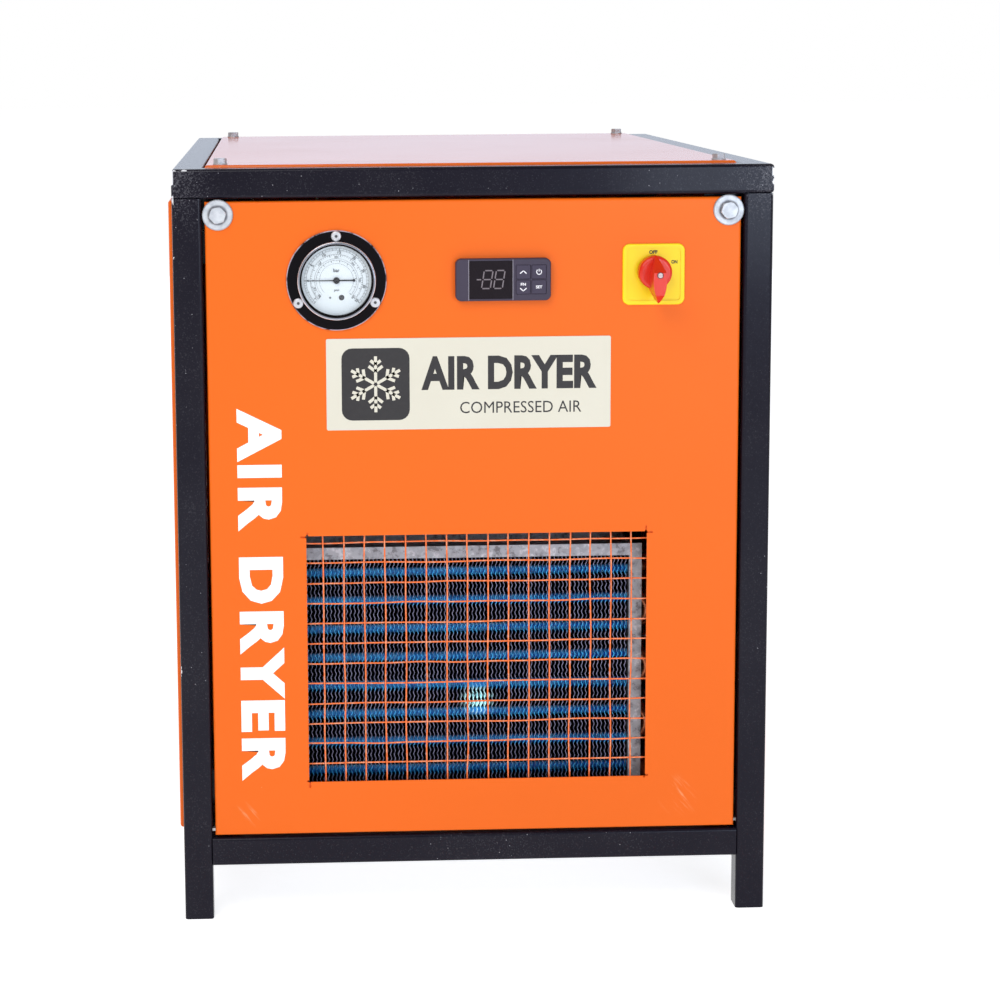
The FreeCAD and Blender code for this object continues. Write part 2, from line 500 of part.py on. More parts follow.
# ---- window mesh and name plate ------------------------------------------------------------------
def make_mesh():
    """Welded wire mesh behind the window, held by four flat strips."""
    z_back = -PANEL_T
    outer_w, outer_h = WINDOW_W + 2 * STRIP_W, WINDOW_H + 2 * STRIP_W
    tall = slab(STRIP_W - 1.0, outer_h, 0, z_back - STRIP_T, z_back)
    wide = slab(WINDOW_W + 2, STRIP_W - 1.0, 0, z_back - STRIP_T, z_back)
    strips = []
    for side in (-1, 1):
        strips.append(moved(tall, side * (WINDOW_W / 2 + 1 + (STRIP_W - 1.0) / 2)))
        strips.append(moved(wide, 0, side * (WINDOW_H / 2 + 1 + (STRIP_W - 1.0) / 2)))
    nodes["mesh_strips"] = group(*[front(s, WINDOW_X, WINDOW_Z) for s in strips])
    z_up = z_back - STRIP_T - WIRE_R
    z_across = z_up - 2 * WIRE_R
    cols = 2 * round((WINDOW_W / 2 + 0.6 * STRIP_W) / MESH_PITCH)
    rows = 2 * round((WINDOW_H / 2 + 0.6 * STRIP_W) / MESH_PITCH)
    half_h, half_w = outer_h / 2 - 1, outer_w / 2 - 1
    wires = []
    for i in range(cols):
        x = (i - (cols - 1) / 2) * MESH_PITCH + MESH_SHIFT_X
        wires.append(rod(WIRE_R, V(x, -half_h, z_up), V(x, half_h, z_up)))
    for j in range(rows):
        y = (j - (rows - 1) / 2) * MESH_PITCH + MESH_SHIFT_Z
        wires.append(rod(WIRE_R, V(-half_w, y, z_across), V(half_w, y, z_across)))
    nodes["window_mesh"] = group(*[front(w, WINDOW_X, WINDOW_Z) for w in wires])


def make_name_plate():
    plate = slab(PLATE_W, PLATE_H, 1.5, 0, PLATE_T)
    nodes["name_plate"] = front(plate, PLATE_X, PLATE_Z, Y_FRONT - FRONT_PROUD)


# ---- gauge ---------------------------------------------------------------------------------------
def gauge_screw_places():
    return [(GAUGE_X + GAUGE_SCREW_PCD_R * math.cos(math.radians(a)),
             GAUGE_Z + GAUGE_SCREW_PCD_R * math.sin(math.radians(a))) for a in (90, 210, 330)]


def make_gauge():
    y = Y_FRONT - FRONT_PROUD

    def place(*solids):
        return group(*[front(s, GAUGE_X, GAUGE_Z, y) for s in solids])

    inner_r = GAUGE_CASE_R - GAUGE_CASE_WALL
    flange = rod(GAUGE_FLANGE_R, V(0, 0, 0), V(0, 0, GAUGE_FLANGE_T))
    flange = flange.makeFillet(1.0, edges_at(flange, GAUGE_FLANGE_T))
    cup = rod(GAUGE_CASE_R, V(0, 0, -GAUGE_CASE_DEPTH), V(0, 0, GAUGE_FLANGE_T))
    stem = rod(GAUGE_STEM_R, V(0, 0, -GAUGE_CASE_DEPTH - GAUGE_STEM_L), V(0, 0, -GAUGE_CASE_DEPTH + 1))
    case = fused(flange, cup, stem)
    case = case.cut(rod(inner_r, V(0, 0, -GAUGE_CASE_DEPTH + GAUGE_CASE_WALL), V(0, 0, GAUGE_FLANGE_T + 1)))
    case = case.cut(rod(GAUGE_STEM_BORE_R, V(0, 0, -GAUGE_CASE_DEPTH - GAUGE_STEM_L - 1), V(0, 0, 0)))
    for x, z in gauge_screw_places():
        hole = rod(GAUGE_SCREW_R + HOLE_CLEAR / 2, V(0, 0, -5), V(0, 0, 5))
        case = case.cut(moved(hole, x - GAUGE_X, z - GAUGE_Z))
    nodes["gauge_case"] = place(case)

    top = GAUGE_FLANGE_T + GAUGE_BEZEL_H
    bezel = rod(GAUGE_BEZEL_R, V(0, 0, GAUGE_FLANGE_T), V(0, 0, top))
    bezel = bezel.makeFillet(1.2, edges_at(bezel, top))
    seat_r = GAUGE_CASE_R
    under_lip = top - GAUGE_BEZEL_T
    glass_z = under_lip - GAUGE_GLASS_T
    bezel = bezel.cut(rod(seat_r, V(0, 0, 0), V(0, 0, under_lip)))
    lip_r = GAUGE_BEZEL_R - GAUGE_BEZEL_LIP
    bezel = bezel.cut(Part.makeCone(lip_r, lip_r + GAUGE_BEZEL_T, GAUGE_BEZEL_T + 0.01, V(0, 0, under_lip)))
    nodes["gauge_bezel"] = place(bezel)
    glass = rod(seat_r - 0.1, V(0, 0, glass_z), V(0, 0, glass_z + GAUGE_GLASS_T))
    nodes["gauge_glass"] = place(glass)

    dial = rod(GAUGE_DIAL_R, V(0, 0, 0), V(0, 0, GAUGE_DIAL_T))
    dial = dial.cut(rod(NEEDLE_SPINDLE_R + 0.4, V(0, 0, -1), V(0, 0, 2)))
    adjuster = rod(ADJUSTER_R, V(0, 0, GAUGE_DIAL_T), V(0, 0, GAUGE_DIAL_T + 0.5))
    slot = turned(slab(3 * ADJUSTER_R, 0.6, 0, GAUGE_DIAL_T + 0.2, GAUGE_DIAL_T + 2), Z, 50)
    adjuster = moved(adjuster.cut(slot), ADJUSTER_X, ADJUSTER_Z)
    pin = moved(rod(STOP_PIN_R, V(0, 0, GAUGE_DIAL_T), V(0, 0, GAUGE_DIAL_T + 0.5)), STOP_PIN_X, ADJUSTER_Z)
    nodes["gauge_dial"] = place(dial, adjuster, pin)

    low = GAUGE_DIAL_T + 0.9
    hub = rod(NEEDLE_HUB_R, V(0, 0, low), V(0, 0, low + 1.3))
    hub = hub.makeFillet(0.4, edges_at(hub, low + 1.3))
    half = NEEDLE_W / 2
    outline = [(-NEEDLE_TIP, -NEEDLE_POINT), (0, -half), (NEEDLE_TAIL, -half),
               (NEEDLE_TAIL, half), (0, half), (-NEEDLE_TIP, NEEDLE_POINT)]
    arm = prism([V(x, z, low) for x, z in outline], V(0, 0, NEEDLE_T))
    weight = rod(1.2, V(NEEDLE_TAIL, 0, low), V(NEEDLE_TAIL, 0, low + NEEDLE_T))
    spindle = rod(NEEDLE_SPINDLE_R, V(0, 0, low + 0.5), V(0, 0, -6.0))
    nodes["gauge_needle"] = place(fused(hub, arm, weight, spindle))

    block = slab(16, 12, 1, -12.0, -4.0).cut(rod(NEEDLE_SPINDLE_R + SHAFT_CLEAR, V(0, 0, -6.5), V(0, 0, 0)))
    post = slab(10, 10, 1, -GAUGE_CASE_DEPTH + GAUGE_CASE_WALL, -12.0)
    bourdon = Part.makeTorus(GAUGE_TUBE_BEND_R, GAUGE_TUBE_R, V(0, 0, -16), Z, -180, 180, 270)
    nodes["gauge_movement"] = place(block, post, turned(bourdon, Z, 135))

    screws = []
    for x, z in gauge_screw_places():
        head = rod(GAUGE_SCREW_HEAD_R, V(0, 0, GAUGE_FLANGE_T), V(0, 0, GAUGE_FLANGE_T + 2.0))
        head = head.makeFillet(1.2, edges_at(head, GAUGE_FLANGE_T + 2.0))
        head = head.cut(rod(1.1, V(0, 0, GAUGE_FLANGE_T + 0.9), V(0, 0, GAUGE_FLANGE_T + 3)))
        screws.append(front(fused(head, rod(GAUGE_SCREW_R, V(0, 0, GAUGE_FLANGE_T), V(0, 0, -10))), x, z, y))
    nodes["gauge_screws"] = group(*screws)


# ---- controller ----------------------------------------------------------------------------------
def key_places():
    """Key name to its centre, seen from the front, measured from the controller's centre."""
    dx, dz = KEY_PITCH_X / 2, KEY_PITCH_Z / 2
    return {"key_up": (KEY_MID_X - dx, dz), "key_power": (KEY_MID_X + dx, dz),
            "key_down": (KEY_MID_X - dx, -dz), "key_set": (KEY_MID_X + dx, -dz)}


def make_controller():
    y = Y_FRONT - FRONT_PROUD
    top = CTRL_PROUD
    face = slab(CTRL_W, CTRL_H, CTRL_CORNER, 0, top)
    face = face.makeFillet(1.4, edges_at(face, top))
    rear_case = slab(CTRL_CUT_W - 0.6, CTRL_CUT_H - 0.6, 0, -CTRL_DEPTH, 1)
    case = fused(face, rear_case)
    lens_w, lens_x = CTRL_LENS_X1 - CTRL_LENS_X0, (CTRL_LENS_X0 + CTRL_LENS_X1) / 2
    case = case.cut(slab(lens_w, CTRL_LENS_H, 0.8, top - 0.4 - CTRL_LENS_T, top + 1, lens_x))
    case = case.cut(slab(CTRL_CUT_W - 6, CTRL_CUT_H - 5, 0, -CTRL_DEPTH + 2, -2))
    for name, (kx, kz) in key_places().items():
        floor = top - KEY_T - KEY_FLOOR
        case = case.cut(slab(KEY_W + 2 * KEY_GAP, KEY_H + 2 * KEY_GAP, 1.0, floor, top + 1, kx, kz))
        cap = slab(KEY_W, KEY_H, 0.8, top - KEY_T, top, kx, kz)
        cap = cap.makeFillet(0.4, edges_at(cap, top))
        nodes[name] = front(cap, CTRL_X, CTRL_Z, y)
    nodes["controller_case"] = front(case, CTRL_X, CTRL_Z, y)
    lens = slab(lens_w - 0.3, CTRL_LENS_H - 0.3, 0.6, top - 0.4 - CTRL_LENS_T, top - 0.4, lens_x)
    nodes["controller_window"] = front(lens, CTRL_X, CTRL_Z, y)


# ---- rotary switch -------------------------------------------------------------------------------
def make_switch():
    y = Y_FRONT - FRONT_PROUD
    up = SWITCH_AXIS_UP
    plate = slab(SWITCH_W, SWITCH_H, SWITCH_CORNER, 0, SWITCH_T)
    plate = plate.makeFillet(1.2, edges_at(plate, SWITCH_T))
    inside = slab(SWITCH_W - 2 * SWITCH_RIM, SWITCH_H - 2 * SWITCH_RIM, SWITCH_CORNER - SWITCH_RIM + 1.0,
                  SWITCH_T - SWITCH_RIM_H, SWITCH_T + 1)
    plate = plate.cut(inside).cut(rod(SWITCH_NECK_R + 0.3, V(0, up, -1), V(0, up, 5)))
    nodes["switch_plate"] = front(plate, SWITCH_X, SWITCH_Z, y)

    z0 = SWITCH_T + KNOB_GAP
    base = rod(KNOB_R, V(0, 0, z0), V(0, 0, z0 + KNOB_BASE_H))
    base = base.makeFillet(3.0, edges_at(base, z0 + KNOB_BASE_H))
    w = KNOB_HALF_W
    side_r = Part.Arc(V(0, KNOB_UP, 0), V(w, -KNOB_DOWN * 0.25, 0), V(0, -KNOB_DOWN, 0)).toShape()
    side_l = Part.Arc(V(0, -KNOB_DOWN, 0), V(-w, -KNOB_DOWN * 0.25, 0), V(0, KNOB_UP, 0)).toShape()
    spindle = Part.Face(Part.Wire([side_r, side_l])).extrude(V(0, 0, z0 + KNOB_H))
    top, low = z0 + KNOB_H, z0 + KNOB_BASE_H
    wide = 2 * KNOB_R
    profile = [(KNOB_UP, z0), (KNOB_UP, low - 2), (KNOB_TOP_UP, top), (-KNOB_TOP_DOWN, top),
               (-KNOB_DOWN, top - KNOB_NOSE_DROP), (-KNOB_DOWN + 1.5, low + 2), (-KNOB_R + 1, z0)]
    silhouette = prism([V(-wide / 2, y, z) for y, z in profile], V(wide, 0, 0))
    grip = spindle.common(silhouette)
    knob = fused(base, grip)
    knob = knob.cut(rod(CAP_R + 0.1, V(0, 0, top - 1.5), V(0, 0, top + 1)))
    shaft = rod(KNOB_SHAFT_R, V(0, 0, z0 + 1), V(0, 0, -SWITCH_BODY_DEPTH + 12))
    nodes["switch_knob"] = front(fused(knob, shaft), SWITCH_X, SWITCH_Z + up, y)
    cap = rod(CAP_R, V(0, 0, top - 1.5), V(0, 0, top + CAP_T))
    cap = cap.makeFillet(0.4, edges_at(cap, top + CAP_T)).cut(slab(2 * CAP_R + 1, 0.9, 0, top - 0.2, top + 2))
    nodes["switch_knob_cap"] = front(cap, SWITCH_X, SWITCH_Z + up, y)

    half = -PANEL_T
    body = slab(SWITCH_BODY, SWITCH_BODY, 2, half - SWITCH_BODY_DEPTH, half)
    neck = rod(SWITCH_NECK_R, V(0, 0, half - 1), V(0, 0, SWITCH_T - SWITCH_RIM_H))
    shaft_hole = rod(KNOB_SHAFT_R + SHAFT_CLEAR, V(0, 0, -SWITCH_BODY_DEPTH + 11), V(0, 0, 10))
    body = fused(body, neck).cut(shaft_hole)
    for row in range(3):
        for side in (-1, 1):
            z = half - 12 - row * 14
            body = body.cut(slab(8, 30, 0, z - 5, z, side * (SWITCH_BODY / 2), 0))
    nodes["switch_body"] = front(body, SWITCH_X, SWITCH_Z + up, y)


# ---- condenser and fan ---------------------------------------------------------------------------
COND_Y0 = Y_FRONT + COND_BACK
COND_D = COND_BANKS * COND_BANK_PITCH
COND_Y1 = COND_Y0 + COND_D
COND_X1, COND_X0 = COND_RIGHT, COND_RIGHT - COND_FIN_L
COND_Z0 = Z_FLOOR + COND_LIP_Z
COND_Z1 = COND_Z0 + COND_ROWS * COND_PITCH
COND_MID_X, COND_MID_Z = (COND_X0 + COND_X1) / 2, (COND_Z0 + COND_Z1) / 2


def tube_places():
    """Centres (y, z) of the condenser's tubes, bank by bank."""
    return [(COND_Y0 + (b + 0.5) * COND_BANK_PITCH, COND_Z0 + (r + 0.5) * COND_PITCH)
            for b in range(COND_BANKS) for r in range(COND_ROWS)]


def make_condenser():
    t = COND_SHEET
    parts = []
    for side, x in ((-1, COND_X0), (1, COND_X1)):
        x_in, x_out = sorted((x, x + side * t))
        f_in, f_out = sorted((x, x + side * COND_LIP_X))
        plate = box(x_in, x_out, COND_Y0, COND_Y1, Z_FLOOR, COND_Z1 + COND_LIP_Z)
        for y, z in tube_places():
            plate = plate.cut(rod(COND_TUBE_R + 0.05, V(x_in - 1, y, z), V(x_out + 1, y, z)))
        parts.append(fused(plate, box(f_in, f_out, COND_Y0, COND_Y0 + t, Z_FLOOR, COND_Z1 + COND_LIP_Z)))
    for z, lip in ((COND_Z0 - t, -COND_LIP_Z), (COND_Z1, COND_LIP_Z)):
        web = box(COND_X0, COND_X1, COND_Y0, COND_Y1, z, z + t)
        lo, hi = (Z_FLOOR, COND_Z0) if lip < 0 else (COND_Z1, COND_Z1 + COND_LIP_Z)
        parts.append(fused(web, box(COND_X0, COND_X1, COND_Y0, COND_Y0 + t, lo, hi),
                           box(COND_X0, COND_X1, COND_Y1 - t, COND_Y1, lo, hi)))
    nodes["condenser_frame"] = fused(*parts)
    pitch = (COND_FIN_L - 2 * FIN_CLEAR - FIN_T) / (FIN_COUNT - 1)
    x0 = COND_X0 + FIN_CLEAR
    fin = box(x0, x0 + FIN_T, COND_Y0 + FIN_CLEAR, COND_Y1 - FIN_CLEAR,
              COND_Z0 + FIN_CLEAR, COND_Z1 - FIN_CLEAR)
    holes = [rod(COND_TUBE_R + 0.02, V(x0 - 1, y, z), V(x0 + 2, y, z)) for y, z in tube_places()]
    fin = fin.cut(Part.makeCompound(holes))
    nodes["condenser_fins"] = group(*[moved(fin, i * pitch) for i in range(FIN_COUNT)])
    tubes = []
    out = 3.0 + t
    for y, z in tube_places():
        tubes.append(ring(COND_TUBE_R, COND_TUBE_R - COND_TUBE_WALL,
                          V(COND_X0 - out, y, z), V(COND_X1 + out, y, z)))
    for bank in range(COND_BANKS):
        y = COND_Y0 + (bank + 0.5) * COND_BANK_PITCH
        for r in range(COND_ROWS - 1):
            z = COND_Z0 + (r + 1) * COND_PITCH
            side = 1 if r % 2 == 0 else -1
            x = (COND_X1 + out) if side > 0 else (COND_X0 - out)
            tubes.append(return_bend(V(x, y, z), Z, side, COND_PITCH / 2))
    top_z, low_z = COND_Z1 - COND_PITCH / 2, COND_Z0 + COND_PITCH / 2
    tubes.append(return_bend(V(COND_X1 + out, COND_Y0 + COND_BANK_PITCH, top_z), Y, 1, COND_BANK_PITCH / 2))
    last_bend = V(COND_X0 - out, COND_Y0 + 2 * COND_BANK_PITCH, low_z)
    tubes.append(return_bend(last_bend, Y, -1, COND_BANK_PITCH / 2))
    nodes["condenser_tubes"] = group(*tubes)


def return_bend(mid, along, side, r):
    """Hollow half-ring that joins two tubes r either side of mid, bulging to one side in x."""
    def half(radius):
        face = Part.Face(Part.Wire(Part.makeCircle(radius, mid - along * r, X)))
        turn = -180 * side if along.z > 0.5 else 180 * side
        return face.revolve(mid, Y if along.z > 0.5 else Z, turn)

    return half(COND_TUBE_R).cut(half(COND_TUBE_R - COND_TUBE_WALL))


def make_fan():
    y0, t = COND_Y1, SHROUD_T
    yb = y0 + SHROUD_D
    outer = box(COND_X0, COND_X1, y0, yb, COND_Z0, COND_Z1)
    shroud = outer.cut(box(COND_X0 + t, COND_X1 - t, y0 - 1, yb - t, COND_Z0 + t, COND_Z1 - t))
    centre = V(COND_MID_X, 0, COND_MID_Z)
    hole_r = FAN_R + FAN_TIP_CLEAR

    def at(y):
        return V(centre.x, y, centre.z)

    shroud = shroud.cut(rod(hole_r, at(yb - 5), at(yb + 5)))
    shroud = fused(shroud, ring(hole_r + t, hole_r, at(yb - t), at(yb + 14)))
    nodes["fan_shroud"] = shroud
    hub0 = yb - 8
    hub = rod(FAN_HUB_R, at(hub0), at(hub0 + FAN_HUB_L))
    hub = hub.cut(rod(FAN_HUB_R - 2.5, at(hub0 + 3), at(hub0 + FAN_HUB_L + 1)))
    boss = rod(8.0, at(hub0), at(hub0 + FAN_HUB_L))
    blades = []
    for i in range(FAN_BLADES):
        blade = box(FAN_HUB_R - 2, FAN_R + 20, -BLADE_CHORD / 2, BLADE_CHORD / 2, -BLADE_T / 2, BLADE_T / 2)
        blade = turned(blade, X, BLADE_TILT)
        blade = blade.common(rod(FAN_R, V(0, 0, -60), V(0, 0, 60)))
        blade = blade.cut(rod(FAN_HUB_R - 1.0, V(0, 0, -60), V(0, 0, 60)))
        blade = blade.common(rod(FAN_R + 5, V(0, 0, -FAN_HUB_L / 2 + 0.5), V(0, 0, FAN_HUB_L / 2 - 0.5)))
        blades.append(turned(blade, Z, i * 360.0 / FAN_BLADES))
    blades = [moved(turned(b, X, -90), centre.x, hub0 + FAN_HUB_L / 2, centre.z) for b in blades]
    shaft_end = hub0 + FAN_HUB_L + MOTOR_GAP + FAN_SHAFT_IN
    nodes["fan_blade"] = fused(hub, boss, rod(FAN_SHAFT_R, at(hub0), at(shaft_end)), *blades)
    m0 = hub0 + FAN_HUB_L + MOTOR_GAP
    motor = rod(MOTOR_R, at(m0), at(m0 + MOTOR_L))
    motor = motor.makeFillet(5.0, [e for e in motor.Edges if e.Curve.TypeId == "Part::GeomCircle"])
    motor = motor.cut(rod(FAN_SHAFT_R + SHAFT_CLEAR, at(m0 - 1), at(m0 + FAN_SHAFT_IN + 2)))
    legs = []
    y_ring = yb + 14
    for i in range(4):
        a = math.radians(45 + 90 * i)
        d = V(math.cos(a), 0, math.sin(a))
        foot = at(y_ring) + d * (hole_r + t / 2 + 3)
        elbow = at(m0 + MOTOR_L * 0.6) + d * (MOTOR_R + 12)
        legs.append(rod(MOTOR_LEG / 2, foot + Y * 2.5, elbow))
        legs.append(rod(MOTOR_LEG / 2, elbow - d * 14, elbow))
        legs.append(rod(4.5, foot, foot + Y * 5))
    nodes["fan_motor"] = fused(motor, *legs)


# ---- compressor ----------------------------------------------------------------------------------
def compressor_feet():
    half = COMP_FOOT_SPAN / 2 - 12
    return [(sx * half, sy * half) for sx in (-1, 1) for sy in (-1, 1)]


def make_compressor():
    z0 = Z_FLOOR + GROMMET_H
    zs = z0 + COMP_FOOT_T
    c = V(COMP_X, COMP_Y, 0)

    def can(r, low, high, dome):
        body = moved(Part.makeCylinder(r, high - low), c.x, c.y, low)
        return body.makeFillet(dome, [e for e in body.Edges if e.Curve.TypeId == "Part::GeomCircle"])

    w = COMP_WALL
    shell = can(COMP_R, zs, zs + COMP_H, 38).cut(can(COMP_R - w, zs + w, zs + COMP_H - w, 38 - w))
    foot = moved(slab(COMP_FOOT_SPAN, COMP_FOOT_SPAN, 12, z0, z0 + COMP_FOOT_T), c.x, c.y)
    for dx, dy in compressor_feet():
        foot = foot.cut(rod(GROMMET_R * 0.55, V(c.x + dx, c.y + dy, z0 - 1), V(c.x + dx, c.y + dy, z0 + 10)))
    foot = foot.cut(rod(COMP_R * 0.4, V(c.x, c.y, z0 - 1), V(c.x, c.y, z0 + 10)))
    seam_z = zs + COMP_H * 0.55
    seam = moved(ring(COMP_R + 2, COMP_R - 0.5, V(0, 0, seam_z), V(0, 0, seam_z + 8)), c.x, c.y)
    stub_z = zs + COMP_H * 0.72
    stub = rod(LINE_R, V(c.x, c.y - COMP_R + 6, stub_z), V(c.x, c.y - COMP_R - 18, stub_z))
    suction = rod(LINE_R, V(c.x + COMP_R - 6, c.y, stub_z), V(c.x + COMP_R + 18, c.y, stub_z))
    cover_z = zs + COMP_H * 0.3
    cover = box(c.x - COMP_R - 22, c.x - COMP_R + 14, c.y - 22, c.y + 22, cover_z, cover_z + 44)
    cover = cover.cut(can(COMP_R + 0.5, zs, zs + COMP_H, 38))
    nodes["compressor_shell"] = group(fused(shell, foot, seam, stub, suction), cover)
    stator = moved(ring(58, 30, V(0, 0, zs + 30), V(0, 0, zs + 95)), c.x, c.y)
    rotor = moved(rod(28, V(0, 0, zs + 28), V(0, 0, zs + 98)), c.x, c.y)
    pump = moved(slab(80, 62, 10, zs + 99, zs + 140), c.x, c.y)
    springs = [rod(5, V(c.x + sx * 40, c.y + sy * 40, zs + 14), V(c.x + sx * 40, c.y + sy * 40, zs + 29.5))
               for sx in (-1, 1) for sy in (-1, 1)]
    nodes["compressor_motor"] = group(stator, rotor, pump, *springs)
    rubber = []
    for dx, dy in compressor_feet():
        grommet = ring(GROMMET_R, STUD_R + HOLE_CLEAR, V(0, 0, Z_FLOOR), V(0, 0, z0))
        nut = BOLT_AF / 2
        bolt = fused(rod(STUD_R, V(0, 0, Z_RAIL - 2), V(0, 0, z0 + 9)),
                     rod(nut, V(0, 0, z0 + 5), V(0, 0, z0 + 9)),
                     rod(nut, V(0, 0, Z_RAIL - 5), V(0, 0, Z_RAIL)))
        rubber += [moved(grommet, c.x + dx, c.y + dy), moved(bolt, c.x + dx, c.y + dy)]
    nodes["compressor_grommets"] = group(*rubber)
    return V(c.x, c.y - COMP_R - 18, stub_z), V(c.x + COMP_R + 18, c.y, stub_z)


# ---- heat exchanger, separator and drain ---------------------------------------------------------
def make_air_side():
    j = HX_JACKET
    jacket = box(HX_X0, HX_X1, HX_Y0, HX_Y1, HX_Z0, HX_Z1)
    upright = [e for e in jacket.Edges if abs(e.tangentAt(e.FirstParameter).z) > 0.99]
    jacket = jacket.makeFillet(8.0, upright)
    hollow = box(HX_X0 + j, HX_X1 - j, HX_Y0 + j, HX_Y1 - j, HX_Z0 + j, HX_Z1 - j)
    jacket = jacket.cut(hollow)
    for x, z in port_places():
        jacket = jacket.cut(rod(PORT_R, V(x, HX_Y1 - j - 1, z), V(x, HX_Y1 + 1, z)))
    jacket = jacket.cut(rod(PORT_R, V(HX_X0 - 1, SEP_Y, SEP_Z1 - 30), V(HX_X0 + j + 1, SEP_Y, SEP_Z1 - 30)))
    inset = j + 0.5
    plates = box(HX_X0 + inset, HX_X1 - inset, HX_Y0 + inset, HX_Y1 - inset, HX_Z0 + inset, HX_Z1 - inset)
    grooves = [box(HX_X0, HX_X1, HX_Y0 + j + 12 + 18 * i, HX_Y0 + j + 16 + 18 * i,
                   HX_Z0 + j + 20, HX_Z1 - j - 20)
               for i in range(9)]
    core = plates.cut(Part.makeCompound(grooves))
    nodes["heat_exchanger"] = group(jacket, core)

    pipes = []
    end = Y_REAR + PORT_REACH
    for x, z in port_places():
        tube = rod(PORT_R, V(x, HX_Y1 - j, z), V(x, end - 5, z))
        socket = rod(PORT_SOCKET_R, V(x, end - PORT_SOCKET_L, z), V(x, end, z))
        lip = [e for e in socket.Edges if e.Curve.TypeId == "Part::GeomCircle"]
        socket = socket.makeChamfer(1.5, lip)
        both = fused(tube, socket)
        both = both.cut(rod(PORT_BORE_R, V(x, end - PORT_SOCKET_L + 12, z), V(x, end + 1, z)))
        pipes.append(both.cut(rod(PORT_BORE_R - 1.6, V(x, HX_Y1 - j - 1, z), V(x, end + 1, z))))
    nodes["air_pipes"] = group(*pipes)

    bowl = moved(Part.makeCylinder(SEP_R, SEP_Z1 - SEP_Z0), SEP_X, SEP_Y, SEP_Z0)
    bowl = bowl.makeFillet(12, [e for e in bowl.Edges if e.Curve.TypeId == "Part::GeomCircle"])
    cavity = moved(Part.makeCylinder(SEP_R - 3, SEP_Z1 - SEP_Z0 - 6), SEP_X, SEP_Y, SEP_Z0 + 3)
    cavity = cavity.makeFillet(9, [e for e in cavity.Edges if e.Curve.TypeId == "Part::GeomCircle"])
    inlet = rod(PORT_R - 0.2, V(SEP_X + SEP_R - 2, SEP_Y, SEP_Z1 - 30), V(HX_X0 + j, SEP_Y, SEP_Z1 - 30))
    bowl = fused(bowl, inlet).cut(cavity)
    bore = rod(PORT_BORE_R - 1.6, V(SEP_X, SEP_Y, SEP_Z1 - 30), V(HX_X0 + j + 1, SEP_Y, SEP_Z1 - 30))
    bowl = bowl.cut(bore)
    bowl = bowl.cut(rod(DRAIN_BORE_R, V(SEP_X, SEP_Y, SEP_Z0 - 1), V(SEP_X, SEP_Y, SEP_Z0 + 10)))
    nodes["water_separator"] = bowl

    body = box(SEP_X - 14, SEP_X + 14, SEP_Y - 14, SEP_Y + 20, DRAIN_Z - 12, DRAIN_Z + 12)
    neck = rod(7.0, V(SEP_X, SEP_Y, DRAIN_Z + 11), V(SEP_X, SEP_Y, SEP_Z0))
    coil = box(SEP_X - 36, SEP_X - 14, SEP_Y - 12, SEP_Y + 12, DRAIN_Z - 14, DRAIN_Z + 16)
    valve = fused(body, neck).cut(rod(DRAIN_BORE_R, V(SEP_X, SEP_Y, DRAIN_Z), V(SEP_X, SEP_Y, SEP_Z0 + 1)))
    valve = valve.cut(rod(DRAIN_BORE_R, V(SEP_X, SEP_Y, DRAIN_Z), V(SEP_X, SEP_Y + 30, DRAIN_Z)))
    nodes["drain_valve"] = group(valve, coil)

    def drain_rod(radius, start, end):
        return rod(radius, V(DRAIN_X, start, DRAIN_Z), V(DRAIN_X, end, DRAIN_Z))

    outer, inner = Y_REAR + REAR_PROUD, Y_REAR + REAR_PROUD - PANEL_T
    tail = drain_rod(LINE_R, SEP_Y + 20, outer)
    neck = drain_rod(DRAIN_NECK_R, inner - DRAIN_FLANGE_T - 1, outer + 1)
    nut = drain_rod(DRAIN_FLANGE_R, inner - DRAIN_FLANGE_T, inner)
    spigot_y = outer + DRAIN_FLANGE_T
    flange = drain_rod(DRAIN_FLANGE_R, outer, spigot_y)
    tip_y = spigot_y + SPIGOT_L - SPIGOT_TIP
    spigot = drain_rod(SPIGOT_R, outer, tip_y)
    tip = Part.makeCone(SPIGOT_R, SPIGOT_R - SPIGOT_TIP, SPIGOT_TIP, V(DRAIN_X, tip_y, DRAIN_Z), Y)
    outlet = fused(tail, neck, nut, flange, spigot, tip)
    nodes["drain_outlet"] = outlet.cut(drain_rod(DRAIN_BORE_R, SEP_Y, spigot_y + SPIGOT_L + 1))


